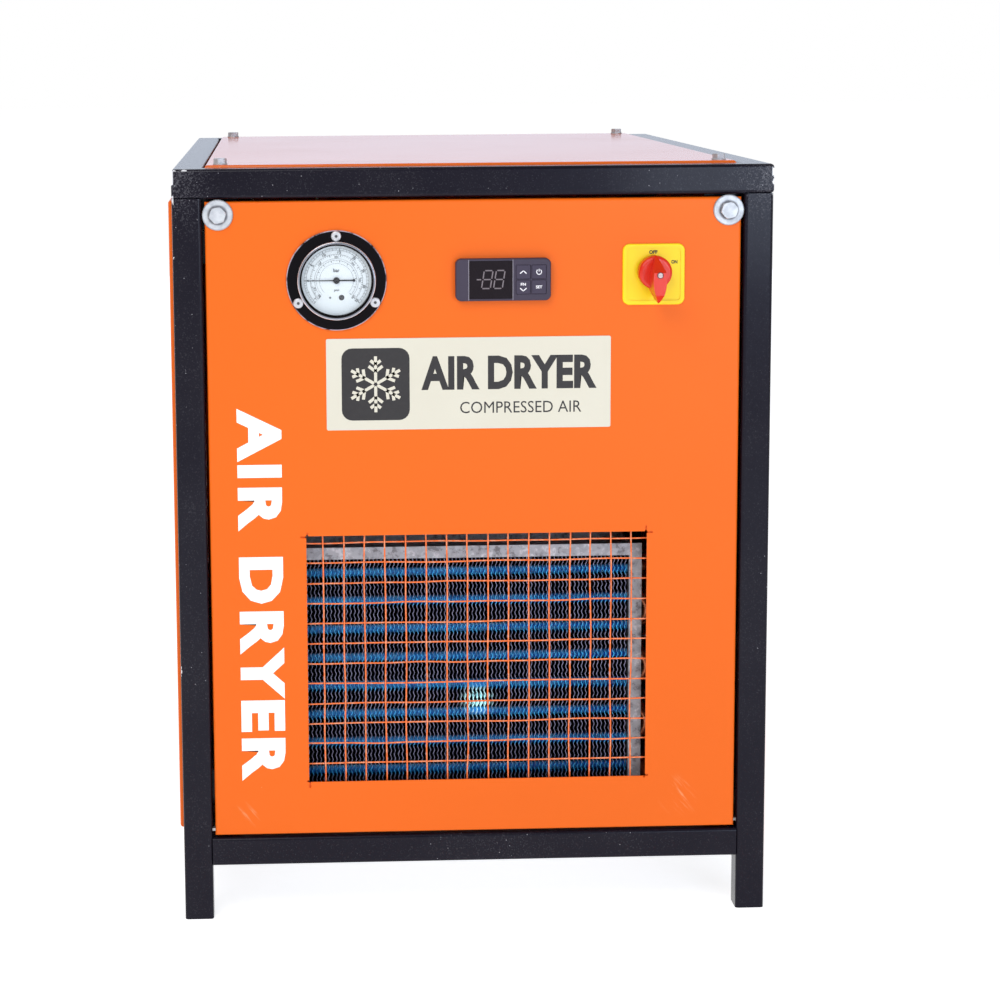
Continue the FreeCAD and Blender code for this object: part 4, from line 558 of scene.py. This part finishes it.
def cap_moulding():
    """The knob's pale cap, dark round its edge."""
    f = Finish("cap_moulding")
    cloud = f.noise(500.0, 2.0)
    face = f.near((AXIS.x, face_front("switch_knob_cap"), AXIS.z), 1.9 * MM, 0.25 * MM)
    colour = f.blend(cloud, tint(216, 198, 198), tint(200, 182, 184))
    colour = f.blend(face, tint(64, 30, 30), colour)
    return f.surface(colour, 0.3 + cloud * 0.1, (cloud, 0.00001))


def screen_black():
    """Dark polished acrylic with fine wiping marks."""
    f = Finish("screen_black")
    marks = f.brushed((0.0, 0.4, 0.0), (700.0, 700.0, 80.0), 3.0, 0.6)
    colour = f.blend(marks, tint(18, 8, 16), tint(26, 18, 26))
    return f.surface(colour, 0.1 + marks * 0.12, (marks, 0.00001), Specular_IOR_Level=0.18)


def gloss_moulding(name, red, green, blue, rough, shine=0.5):
    """Glossy coloured plastic with slight flow marks; shine is how much it reflects."""
    f = Finish(name)
    base = tint(red, green, blue)
    flow = f.noise(45.0, 3.0, 0.55, warp=0.4)
    fine = f.noise(800.0, 1.0)
    colour = f.blend(flow.ease(0.3, 0.8) * 0.5, base, shade(base, 0.88))
    relief = (fine * 0.4 + flow * 2.0, 0.00003)
    return f.surface(colour, rough + flow * 0.08, relief, Specular_IOR_Level=shine)


def cream_film():
    """Printed film: cream, satin, with tiny bubbles under it."""
    f = Finish("cream_film")
    cloud = f.noise(14.0, 3.0)
    bubbles, chosen = f.cells(120.0)
    raised = bubbles.ease(0.2, 0.1) * chosen.ease(0.93, 0.94)
    colour = f.blend(cloud, tint(214, 210, 195), tint(208, 203, 186))
    return f.surface(colour, 0.34 + cloud * 0.12, (raised + cloud * 0.6, 0.00008))


def ink(name, red, green, blue):
    """Screen-printed ink, very slightly patchy."""
    f = Finish(name)
    base = tint(red, green, blue)
    patch = f.noise(160.0, 4.0, 0.6)
    colour = f.blend(patch.ease(0.35, 0.8) * 0.35, base, tint(*(0.85 * c + 22 for c in (red, green, blue))))
    return f.surface(colour, 0.4 + patch * 0.15, (patch, 0.00002))


def mesh_paint():
    """Orange paint over wire, thin on the crests, where pale primer shows, and dusty."""
    f = Finish("mesh_paint")
    blotches = f.noise(240.0, 4.0, 0.65)
    slow = f.noise(22.0, 2.0)
    colour = f.blend(blotches.ease(0.46, 0.6) * 0.6, tint(246, 118, 48), tint(240, 170, 134))
    colour = f.blend(slow.ease(0.5, 0.7) * 0.3, colour, tint(206, 90, 44))
    return f.surface(colour, 0.42 + blotches * 0.2, (blotches, 0.00008))


def tube_band(f, reach, core):
    """1 level with the middle of each tube row, fading out between two shares of the row pitch."""
    phase = ((f.axes()[2] - FIN_LOW.z) * (TUBE_ROWS / (FIN_HIGH.z - FIN_LOW.z))).math("FRACT")
    return abs(phase - 0.5).ease(reach, core)


def fin_lacquer():
    """Blue corrosion lacquer on aluminium fin, with painted light: near black between the tube rows for the
    shade deep between the fins, and bright blue level with the rows as a painted sheen that the front edge
    shares; worn to pale metal along the cut front edge, and a painted glint, a pale glowing patch, where some
    fins are bent."""
    f = Finish("fin_lacquer")
    _, y, _ = f.axes()
    # Painted shade between the tube rows and a painted blue sheen level with them, on fin faces and front
    # edges.
    row_light = tube_band(f, 0.21, 0.08)
    edge = y.ease(FIN_LOW.y + 0.8 * MM, FIN_LOW.y + 0.3 * MM)
    worn = f.noise(300.0, 4.0, 0.65)
    slow = f.noise(18.0, 2.0)
    body = f.blend(row_light, tint(5, 6, 20), tint(8, 104, 212))
    rim = f.blend(row_light, tint(150, 150, 182), tint(60, 194, 255))
    rim = f.blend(worn.ease(0.32, 0.58) * (0.5 + slow * 0.8), tint(52, 54, 84), rim)
    colour = f.blend(edge, body, rim)
    # Painted glint: a pale patch with its own glow on the bent fins.
    bent_fin_glint = f.near(BENT_FINS, 0.005, 0.014) * f.noise(380.0, 3.0).ease(0.34, 0.56)
    colour = f.blend(bent_fin_glint, colour, tint(214, 250, 255))
    glow = f.blend(bent_fin_glint, (0.0, 0.0, 0.0, 1.0), (0.30, 0.62, 0.66, 1.0))
    return f.surface(colour, 0.34 + worn * 0.2, (worn, 0.00004), Metallic=0.2, Emission_Color=glow,
                     Emission_Strength=1.0)


def tube_lacquer():
    """Bright blue lacquer on the fin collars round the tubes, ringed at each fin, with painted shade: dark
    navy except on the middle of each row of the front bank.
    """
    f = Finish("tube_lacquer")
    x, y, _ = f.axes()
    rings = (x * (TURN / (settings().fin_pitch / 2))).math("SINE")
    patch = f.noise(120.0, 4.0, 0.6)
    # Painted shade: collars dark navy above and below the middle of each row and on the two deeper banks.
    front = tube_band(f, 0.17, 0.11) * y.ease(FIN_LOW.y + 20 * MM, PANEL_FACE + 30 * MM)
    colour = f.blend(patch.ease(0.3, 0.7), tint(40, 156, 232), tint(110, 206, 250))
    colour = f.blend(rings.ease(0.2, 0.9) * 0.5, colour, tint(10, 80, 160))
    colour = f.blend(front, tint(4, 12, 38), colour)
    return f.surface(colour, 0.28 + patch * 0.2, (rings + patch, 0.0001), Metallic=0.1)


def drawn_copper():
    """Drawn copper tube, browned in patches, some of them darker still."""
    f = Finish("drawn_copper")
    patch = f.noise(34.0, 5.0, 0.65)
    fine = f.noise(380.0, 2.0)
    colour = f.blend(patch.ease(0.35, 0.7), tint(222, 142, 104), tint(146, 82, 58))
    colour = f.blend(patch.ease(0.66, 0.8) * 0.7, colour, tint(84, 60, 50))
    return f.surface(colour, 0.24 + patch * 0.25, (fine + patch, 0.00003), Metallic=0.95)


def cellular_foam():
    """Closed-cell insulation: matt black, lumpy, with small pores."""
    f = Finish("cellular_foam")
    distance, _ = f.cells(320.0)
    lumps = f.noise(26.0, 4.0, 0.6)
    colour = f.blend(lumps, tint(22, 22, 24), tint(44, 44, 48))
    return f.surface(colour, 0.86, (distance + lumps * 3.0, 0.0003), Specular_IOR_Level=0.2)


def studio_floor():
    """Pale seamless floor, faintly mottled, a little lit of its own so that it meets the background."""
    f = Finish("studio_floor")
    mottle = f.noise(1.6, 3.0)
    colour = f.blend(mottle, (0.80, 0.80, 0.80, 1.0), (0.82, 0.82, 0.82, 1.0))
    return f.surface(colour, 0.9, Specular_IOR_Level=0.0, Emission_Color=(1.0, 1.0, 1.0, 1.0),
                     Emission_Strength=settings().floor_glow)


# ---- sizes and colours that a user would change ----
def length(name, description, millimetres):
    return FloatProperty(name=name, description=description, unit="LENGTH", default=millimetres * MM)


class DryerLooks(PropertyGroup):
    """Sizes and colours of the dryer's looks."""
    orange: FloatVectorProperty(name="Panel orange", description="Colour of the powder-coated panels",
                                subtype="COLOR", size=3, min=0, max=1, default=(0.82, 0.134, 0.004))
    black: FloatVectorProperty(name="Frame black", description="Colour of the frame's enamel",
                               subtype="COLOR", size=3, min=0, max=1, default=(0.0045, 0.0035, 0.0095))
    fin_pitch: length("Fin pitch", "Distance between condenser fins", 3.45)
    fin_ripple: length("Fin ripple", "Half height of the fins' ripple", 0.72)
    fin_wave: length("Ripple length", "Length of one ripple up the fin", 7.0)
    wire_sway: length("Wire sway", "How far mesh wires stray from straight", 0.7)
    wire_steps: IntProperty(name="Wire steps", description="Points along each mesh wire", default=56)
    name_words: StringProperty(name="Plate words", description="Words on the name plate", default="AIR DRYER")
    side_words: StringProperty(name="Front words", description="Words up the front", default="AIR DRYER")
    lens: FloatProperty(name="Lens", description="Focal length of the camera in millimetres", default=91.62)
    floor_glow: FloatProperty(name="Floor glow", description="Light that the floor gives off", default=0.7)
    key_power: FloatProperty(name="Key light", description="Front light's power", unit="POWER", default=60.0)


# ---- operators ----
class Step:
    """One step of the build; each operator says in `build` what it makes."""

    def execute(self, context):
        self.build(context)
        return {"FINISHED"}


def uneven(count, steps, length, sway, seed):
    """Smooth sideways wander of many wires: a sum of sines whose lengths, strengths and phases are random
    for each wire, (count, steps)."""
    random = np.random.default_rng(seed)
    along = np.linspace(0, length, steps)[None, None, :]
    waves = random.uniform(0.05, 0.22, (count, 4, 1))
    phase = random.uniform(0, TURN, (count, 4, 1))
    strength = random.uniform(0.2, 1.0, (count, 4, 1)) / 4
    return sway * (strength * np.sin(along / waves * TURN + phase)).sum(1) * 1.6


class DRYER_OT_frame(Step, Operator):
    """Black enamel on the tube frame, and weld runs in its corners"""
    bl_idname = "dryer.frame"
    bl_label = "Frame"

    def build(self, context):
        sides = ("front", "rear", "left", "right")
        posts = [f"{end}_{side}_post" for end in sides[:2] for side in sides[2:]]
        rails = [f"{level}_{side}_rail" for level in ("top", "bottom") for side in sides]
        dress(" ".join(posts + rails + ["welded_brackets"]), black_enamel)
        y = np.linspace(-OUTER_Y + 1 * MM, -OUTER_Y + TUBE_SIDE - 1 * MM, 3)
        inner, heights = OUTER_X - TUBE_SIDE, (RAIL_HIGH, OUTER_Z - TUBE_SIDE)
        corners = [(x, z) for x in (-inner, inner) for z in heights]
        beads = np.array([[(x, step, z) for step in y] for x, z in corners])
        piece("weld_beads", *rods(beads, BEAD_R, 16), finish(black_enamel), "frame_black", smooth=True)


class DRYER_OT_panels(Step, Operator):
    """Orange powder coat on the five panels and the mesh strips"""
    bl_idname = "dryer.panels"
    bl_label = "Panels"

    def build(self, context):
        dress("front_panel left_side_panel right_side_panel rear_panel mesh_strips", orange_coat,
              0.36, 0.00005, 0.0)
        dress("top_panel", orange_coat, 0.2, 0.000012, 0.48)


class DRYER_OT_fasteners(Step, Operator):
    """Zinc plate on bolts, washers and screws"""
    bl_idname = "dryer.fasteners"
    bl_label = "Fasteners"

    def build(self, context):
        dress("corner_bolts top_panel_bolts side_panel_screws", zinc_plate)


class DRYER_OT_window(Step, Operator):
    """Uneven welded wire mesh behind the sawn window"""
    bl_idname = "dryer.window"
    bl_label = "Window mesh"

    def build(self, context):
        looks = settings()
        low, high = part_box("window_mesh")
        steps = looks.wire_steps
        groups = []
        window = middle("mesh_strips")
        for across, front_y, centre, seed in ((False, low.y + WIRE_R, window.x + 0.85 * MM, 3),
                                              (True, low.y + 3 * WIRE_R, window.z + 3.9 * MM, 7)):
            start, end = (low.x, high.x) if across else (low.z, high.z)
            span = high.z - low.z if across else high.x - low.x
            count = 2 * int(span / 2 / WIRE_PITCH)
            run = np.linspace(start, end, steps)
            wander = uneven(count, steps, end - start, looks.wire_sway, seed)
            paths = np.zeros((count, steps, 3))
            paths[..., 0 if across else 2] = run
            places = centre + (np.arange(count) - (count - 1) / 2) * WIRE_PITCH
            paths[..., 2 if across else 0] = places[:, None] + wander
            paths[..., 1] = front_y
            groups.append(rods(paths, WIRE_R, 8))
        mesh = piece("wire_mesh", *joined(*groups), finish(mesh_paint), "panel_orange", smooth=True)
        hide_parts("window_mesh")


class DRYER_OT_condenser(Step, Operator):
    """Rippled blue fins, lacquered collars, copper tubes and galvanised end plates"""
    bl_idname = "dryer.condenser"
    bl_label = "Condenser"

    def build(self, context):
        self.make_fins(settings())
        self.make_collars()
        dress("condenser_frame fan_shroud base_tray", galvanised_sheet)
        dress("condenser_tubes refrigerant_lines filter_drier", drawn_copper)

    def make_fins(self, looks):
        """Each fin is a thin sheet whose x is its place plus ripple times the sine of height over wave; a
        bell curve round one spot bends the front edges of a few fins over."""
        low, high, thick = FIN_LOW, FIN_HIGH, FIN_SHEET
        count = int((high.x - low.x - 2 * looks.fin_ripple) / looks.fin_pitch)
        steps = int((high.z - low.z) / looks.fin_wave * 4) + 1
        z = np.linspace(low.z, high.z, steps)
        ripple = looks.fin_ripple * np.sin(z / looks.fin_wave * TURN)
        random = np.random.default_rng(11)
        places = low.x + looks.fin_ripple + thick + (np.arange(count) + 0.5) * (
            (high.x - low.x - 2 * looks.fin_ripple - 2 * thick) / count)
        places = places + random.uniform(-0.12, 0.12, count) * MM
        section = np.array([[-0.5, 0], [0.5, 0], [0.5, 1], [-0.5, 1]])
        points = np.zeros((count, steps, 4, 3))
        points[..., 0] = places[:, None, None] + ripple[None, :, None] + section[None, None, :, 0] * thick
        points[..., 1] = low.y + section[None, None, :, 1] * (high.y - low.y)
        points[..., 2] = z[None, :, None]
        away = ((points[..., 0] - BENT_FINS[0]) / 14 / MM) ** 2
        away += ((points[..., 2] - BENT_FINS[2]) / 7 / MM) ** 2
        points[..., 0] += 1.3 * MM * np.exp(-away) * (points[..., 1] < low.y + 1 * MM)
        faces = tube_faces(count, steps, 4)
        fins = piece("rippled_fins", points, faces, finish(fin_lacquer), "fin_aluminium")
        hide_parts("condenser_fins")

    def make_collars(self):
        """Sleeves round every tube, between the end plates."""
        low, high = FIN_LOW, FIN_HIGH
        bank, row = (high.y - low.y) / TUBE_BANKS, (high.z - low.z) / TUBE_ROWS
        along = np.linspace(low.x, high.x, 3)
        paths = [[[x, low.y + (b + 0.5) * bank, low.z + (r + 0.5) * row] for x in along]
                 for b in range(TUBE_BANKS) for r in range(TUBE_ROWS)]
        piece("tube_collars", *rods(np.array(paths), COLLAR_R, 20), finish(tube_lacquer), "fin_aluminium",
              smooth=True)


class DRYER_OT_gauge(Step, Operator):
    """Gauge finishes, the dial's scales and numbers, and its adjuster"""
    bl_idname = "dryer.gauge"
    bl_label = "Gauge"

    def build(self, context):
        dress("gauge_case", flange_enamel)
        dress("gauge_bezel", chrome_ring)
        dress("gauge_screws", screw_zinc)
        dress("gauge_glass", window_glass)
        dress("gauge_dial", dial_enamel)
        dress("gauge_needle", moulding, "needle_paint", 30, 30, 36, 0.4, 0.00001)
        dress("gauge_movement", bare_metal, "movement_brass", 214, 176, 96, 0.26, 0.5)
        self.make_print()

    def make_print(self):
        """Scales run clockwise from the lower left to the lower right; 0 lies at nine o'clock and the part
        before it reads vacuum."""
        y = face_front("gauge_dial")
        parts = [self.scale(*ring, y) for ring in (
            (25.6, 27.4, 35, 5, 225), (21.0, 22.2, 45, 5, 225), (16.4, 17.2, 27, 3, 225),
            (25.6, 27.4, 10, 5, -45), (21.0, 22.2, 15, 5, -45))]
        parts += [self.arc(radius, y) for radius in (27.4, 25.6, 22.2, 18.6, 17.2, 14.4)]
        numbers = [(str(n * 5), 180 - n * 225 / 7, 23.9, 1.5 if n < 2 else 2.9, 2.1, 0.01) for n in range(8)]
        numbers += [(str(n * 100), 180 - n * 225 / 5, 19.8, 3.4 if n else 1.1, 1.6, 0.0) for n in range(6)]
        numbers += [("-1", 222, 23.7, 2.6, 1.8, 0.01), ("30", 222, 19.6, 2.6, 1.8, 0.01),
                    ("15", 201, 19.6, 2.6, 1.8, 0.01)]
        for words, angle, reach, width, height, weight in numbers:
            angle = math.radians(angle)
            place = (DIAL.x + reach * MM * math.cos(angle), y, DIAL.z + reach * MM * math.sin(angle))
            parts.append(lettering(words, place, width * MM, height * MM, weight, turn=angle - math.pi / 2))
        parts.append(lettering("bar", (DIAL.x, y, DIAL.z + 8.6 * MM), 5.2 * MM, 3.0 * MM, 0.01))
        parts.append(lettering("psi", (DIAL.x, y, DIAL.z - 8.4 * MM), 4.2 * MM, 2.4 * MM))
        piece("dial_print", *joined(*parts), finish(ink, "dial_ink", 40, 44, 54), "needle_black")

    def arc(self, radius, y):
        """A fine line round part of the dial, from 45 degrees below nine o'clock to five o'clock."""
        angle = np.radians(np.linspace(225, -45, 91))
        middle_line = radius * MM * np.stack([np.cos(angle), np.sin(angle)], -1) + (DIAL.x, DIAL.z)
        return bars(np.stack([middle_line[1:], middle_line[:-1]], 1), 0.14 * MM, y, FINE_INK)

    def scale(self, inner, outer, count, each, sweep, y):
        """Ticks between two radii from nine o'clock on, every so many of them longer and bolder; a sweep
        under 0 runs backwards."""
        number = np.arange(count + 1)
        angle = np.radians(180 - number * sweep / count)
        major = number % each == 0
        start = np.where(major, inner - 0.8, inner)[:, None] * MM
        way = np.stack([np.cos(angle), np.sin(angle)], -1)
        ends = np.stack([start * way, outer * MM * way], 1) + (DIAL.x, DIAL.z)
        return bars(ends, np.where(major, 0.34, 0.18) * MM, y)


class DRYER_OT_controller(Step, Operator):
    """Controller finishes, its seven-segment display and the marks on its four keys"""
    bl_idname = "dryer.controller"
    bl_label = "Controller"

    def build(self, context):
        dress("controller_case", moulding, "controller_shell", 58, 50, 68, 0.42, 0.00003)
        dress("controller_window", screen_black)
        dress("key_up key_down key_power key_set", moulding, "key_membrane", 58, 50, 70, 0.44, 0.00003)
        self.make_digits()
        self.make_marks()

    def make_digits(self):
        """A minus sign and two eights of seven slanting segments each."""
        y = face_front("controller_window")
        parts = []
        tall, wide, lean = 7.6 * MM, 3.7 * MM, 0.16
        for middle_x in (-13.6 * MM, -3.4 * MM):
            segments = [((-1, 1), (1, 1)), ((-1, 0), (1, 0)), ((-1, -1), (1, -1))]
            segments += [((side, level), (side, level - 1)) for side in (-1, 1) for level in (1, 0)]
            ends = np.array(segments, float) * (wide, tall)
            ends = ends[:, 0:1] + (ends[:, 1:2] - ends[:, 0:1]) * np.array([0.1, 0.9])[None, :, None]
            ends[..., 0] += ends[..., 1] * lean + CASE.x + middle_x
            ends[..., 1] += CASE.z + 0.3 * MM
            parts.append(bars(ends, 1.0 * MM, y, FINE_INK))
        dash = np.array([[[-22.6, 0.3], [-18.9, 0.3]]]) * MM + (CASE.x, CASE.z)
        parts.append(bars(dash, 1.0 * MM, y, FINE_INK))
        low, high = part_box("controller_window")
        edges = (low.x - 0.3 * MM, high.x + 0.3 * MM)
        lines = [[[x, CASE.z - 17.3 * MM], [x, CASE.z + 17.3 * MM]] for x in edges]
        piece("window_lines", *bars(lines, 0.35 * MM, face_front("controller_case"), 0.02 * MM),
              finish(ink, "line_pale", 170, 164, 176), "controller_grey")
        grey = finish(ink, "segment_grey", 116, 106, 112)
        piece("display_digits", *joined(*parts), grey, "controller_grey")

    def make_marks(self):
        """Each key's mark rides on its key."""
        white = finish(ink, "mark_white", 240, 238, 242)
        for key, draw in (("up", self.up), ("down", self.down), ("power", self.power), ("set", self.words)):
            centre = middle("key_" + key)
            centre.y = face_front("key_" + key)
            piece(f"key_{key}_mark", *joined(*draw(centre)), white, "dial_white", body=key + "_key")

    def chevron(self, centre, rise):
        """An arrow head; a rise under 0 points down."""
        ends = [[[-2.7, -rise], [0.2, rise]], [[-0.2, rise], [2.7, -rise]]]
        return bars(np.array(ends) * MM + (centre.x, centre.z), 0.85 * MM, centre.y)

    def up(self, centre):
        return [self.chevron(centre, 1.3)]

    def down(self, centre):
        label = (centre.x, centre.y, centre.z + 2.4 * MM)
        point = Vector((centre.x, centre.y, centre.z - 2.2 * MM))
        return [lettering("FN", label, 4.4 * MM, 2.4 * MM, 0.03), self.chevron(point, -1.3)]

    def power(self, centre):
        angle = np.radians(np.linspace(125, 415, 25))
        line = 2.1 * MM * np.stack([np.cos(angle), np.sin(angle)], -1) + (centre.x, centre.z)
        ring = bars(np.stack([line[:-1], line[1:]], 1), 0.7 * MM, centre.y)
        stem = bars(np.array([[[0, 0.3], [0, 2.6]]]) * MM + (centre.x, centre.z), 0.6 * MM, centre.y)
        return [ring, stem]

    def words(self, centre):
        return [lettering("SET", centre, 5.4 * MM, 2.5 * MM, 0.03)]


class DRYER_OT_switch(Step, Operator):
    """Yellow plate with its marks, red knob and grey cap"""
    bl_idname = "dryer.switch"
    bl_label = "Isolator switch"

    def build(self, context):
        dress("switch_plate", gloss_moulding, "plate_yellow", 243, 214, 14, 0.26, 0.35)
        dress("switch_knob", gloss_moulding, "knob_red", 216, 40, 16, 0.2)
        dress("switch_knob_cap", cap_moulding)
        dress("switch_body cable_gland", moulding, "contact_black", 28, 28, 30, 0.5, 0.00005)
        y = face_front("switch_plate") + 0.9 * MM
        off = (PLATE.x - 0.4 * MM, y, PLATE.z + 18.9 * MM)
        on = (PLATE.x + 17.6 * MM, y, PLATE.z + 10.4 * MM)
        words = [lettering(word, place, width * MM, 3.3 * MM, 0.05)
                 for word, place, width in (("OFF", off, 7.2), ("ON", on, 5.2))]
        piece("switch_marks", *joined(*words), finish(ink, "mark_dark", 22, 18, 8), "needle_black")


class DRYER_OT_lettering(Step, Operator):
    """Name plate print and the white words up the front panel"""
    bl_idname = "dryer.lettering"
    bl_label = "Lettering"

    def build(self, context):
        looks = settings()
        dress("name_plate", cream_film)
        self.make_plate_print(looks.name_words)
        centre = (-184.2 * MM, PANEL_FACE, 288.0 * MM)
        words = lettering(looks.side_words, centre, 327 * MM, 38 * MM, 0.05, turn=-math.pi / 2, spread=1.2)
        piece("front_words", *words, finish(ink, "words_white", 250, 250, 250), "dial_white")

    def make_plate_print(self, name_words):
        """A dark tile with its emblem, the name and a smaller line."""
        low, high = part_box("name_plate")
        y, z = low.y, (low.z + high.z) / 2
        tile_x = low.x + 42 * MM
        tile = slabs(rounded_outline(tile_x, z, 58 * MM, 62 * MM, 9 * MM)[None], y, HEAVY_INK)
        name = lettering(name_words, (tile_x + 114 * MM, y, z + 9 * MM), 150 * MM, 29 * MM, 0.04)
        line = lettering("COMPRESSED AIR", (tile_x + 124 * MM, y, z - 21 * MM), 104 * MM, 10 * MM)
        black = finish(ink, "print_black", 30, 26, 28)
        piece("plate_print", *joined(tile, name, line), black, "needle_black")
        piece("plate_emblem", *self.snow_crystal(tile_x, z, y - HEAVY_INK), finish(cream_film), "plate_cream")

    def snow_crystal(self, x, z, y):
        """Six arms, each a bar with two pairs of side branches that grow shorter outwards."""
        ends = []
        for arm in range(6):
            angle = math.radians(90 + arm * 60)
            way = np.array([math.cos(angle), math.sin(angle)])
            ends.append([way * 1.5 * MM, way * 24 * MM])
            for reach, branch in ((11 * MM, 7.5 * MM), (17 * MM, 5.5 * MM)):
                for side in (-1, 1):
                    off = angle + side * math.radians(52)
                    start = way * reach
                    ends.append([start, start + branch * np.array([math.cos(off), math.sin(off)])])
        return bars(np.array(ends) + (x, z), 2.6 * MM, y)


class DRYER_OT_inside(Step, Operator):
    """Finishes of the parts inside and behind"""
    bl_idname = "dryer.inside"
    bl_label = "Inside and rear"

    def build(self, context):
        dress("compressor_shell", gloss_moulding, "shell_black", 24, 24, 27, 0.3)
        dress("compressor_motor air_pipes water_separator", bare_metal, "machined_steel",
              150, 150, 154, 0.34, 0.5)
        dress("compressor_grommets", moulding, "grommet_rubber", 26, 26, 27, 0.8, 0.0001)
        dress("heat_exchanger", cellular_foam)
        dress("drain_valve drain_outlet", bare_metal, "valve_brass", 206, 168, 92, 0.3, 0.6)
        dress("electrical_box", moulding, "box_white", 214, 214, 208, 0.45, 0.00004)
        dress("fan_blade", moulding, "fan_nylon", 26, 26, 28, 0.5, 0.00005)
        dress("fan_motor", gloss_moulding, "motor_enamel", 96, 98, 102, 0.4)


FLOOR_REACH = 30.0
LIGHTS = (      # name, place, target, width, height, share of the key light's power, colour
    ("key_light", (-0.9, -2.1, 2.2), (0.0, 0.0, 0.5), 1.7, 1.7, 0.56, (1.0, 0.98, 0.96)),
    ("side_light", (1.0, -2.7, 0.85), (0.1, 0.0, 0.5), 1.1, 1.0, 0.3, (0.72, 0.84, 1.0)),
    ("top_light", (0.2, 1.0, 2.9), (0.0, 0.0, 0.5), 2.4, 2.4, 0.14, (1.0, 1.0, 1.0)),
    ("back_light", (0.0, 6.0, 1.7), (0.0, 0.0, 1.6), 12.0, 3.3, 1.5, (0.68, 0.79, 1.0)),
)
DIM_WORLD = 0.38                # how bright the surroundings are when they are not seen directly
EYE = (-0.165, PANEL_FACE - 2.1485, 0.7562)
PITCH, YAW, ROLL = (math.radians(degrees) for degrees in (8.472, 2.24, -0.454))
SHIFT_X, SHIFT_Y = 0.12, -0.075


class DRYER_OT_stage(Step, Operator):
    """Pale floor, soft studio light and the camera"""
    bl_idname = "dryer.stage"
    bl_label = "Stage"

    def build(self, context):
        scene, looks = context.scene, settings()
        corners = FLOOR_REACH * np.array([[-1, -1, 0], [1, -1, 0], [1, 1, 0], [-1, 1, 0]])
        meshed("floor", corners, [[0, 1, 2, 3]], finish(studio_floor))
        for light in LIGHTS:
            self.light(looks.key_power, *light)
        self.backdrop(scene)
        scene.view_settings.view_transform = "Standard"
        scene.camera = self.camera(looks.lens)

    def backdrop(self, scene):
        """Seen directly the surroundings are white; they light and show in the object more dimly."""
        world = bpy.data.worlds.new("studio")
        world.use_nodes = True
        tree = world.node_tree
        path = tree.nodes.new("ShaderNodeLightPath")
        strength = tree.nodes.new("ShaderNodeMath")
        strength.operation = "MULTIPLY_ADD"
        strength.inputs[1].default_value, strength.inputs[2].default_value = 1 - DIM_WORLD, DIM_WORLD
        tree.links.new(path.outputs["Is Camera Ray"], strength.inputs[0])
        tree.links.new(strength.outputs[0], tree.nodes["Background"].inputs["Strength"])
        tree.nodes["Background"].inputs["Color"].default_value = (1.0, 1.0, 1.0, 1.0)
        scene.world = world

    def light(self, power, name, place, target, width, height, share, colour):
        """A soft rectangular light that faces its target and isn't seen itself."""
        lamp = bpy.data.lights.new(name, "AREA")
        lamp.shape, lamp.size, lamp.size_y = "RECTANGLE", width, height
        lamp.energy, lamp.color = power * share, colour
        made = placed(name, lamp)
        made.location = place
        made.rotation_euler = (Vector(target) - made.location).to_track_quat("-Z", "Y").to_euler()
        made.visible_camera = False

    def camera(self, lens):
        """Eye height just over the top, a little to the left, looking down on the front."""
        data = bpy.data.cameras.new("camera")
        data.lens, data.sensor_width = lens, 36.0
        data.shift_x, data.shift_y = SHIFT_X, SHIFT_Y
        data.clip_end = 100.0
        camera = placed("camera", data)
        camera.location = EYE
        turn = Matrix.Rotation(-YAW, 4, "Z") @ Matrix.Rotation(math.pi / 2 - PITCH, 4, "X")
        camera.rotation_euler = (turn @ Matrix.Rotation(ROLL, 4, "Z")).to_euler()
        return camera


OPERATORS = (DRYER_OT_frame, DRYER_OT_panels, DRYER_OT_fasteners, DRYER_OT_window, DRYER_OT_condenser,
             DRYER_OT_gauge, DRYER_OT_controller, DRYER_OT_switch, DRYER_OT_lettering, DRYER_OT_inside,
             DRYER_OT_stage)


class DRYER_PT_looks(Panel):
    """Sidebar panel that lists the steps"""
    bl_idname = "DRYER_PT_looks"
    bl_label = "Air dryer"
    bl_space_type = "VIEW_3D"
    bl_region_type = "UI"
    bl_category = "Air dryer"

    def draw(self, context):
        for name in DryerLooks.__annotations__:
            self.layout.prop(context.scene.dryer_looks, name)
        for operator in OPERATORS:
            self.layout.operator(operator.bl_idname)


CLASSES = (DryerLooks, *OPERATORS, DRYER_PT_looks)


def register():
    for cls in CLASSES:
        bpy.utils.register_class(cls)
    bpy.types.Scene.dryer_looks = PointerProperty(type=DryerLooks)


def unregister():
    del bpy.types.Scene.dryer_looks
    for cls in reversed(CLASSES):
        bpy.utils.unregister_class(cls)


def main():
    """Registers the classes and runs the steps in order."""
    register()
    for operator in OPERATORS:
        group, step = operator.bl_idname.split(".")
        getattr(getattr(bpy.ops, group), step)()


if __name__ == "__main__":
    main()
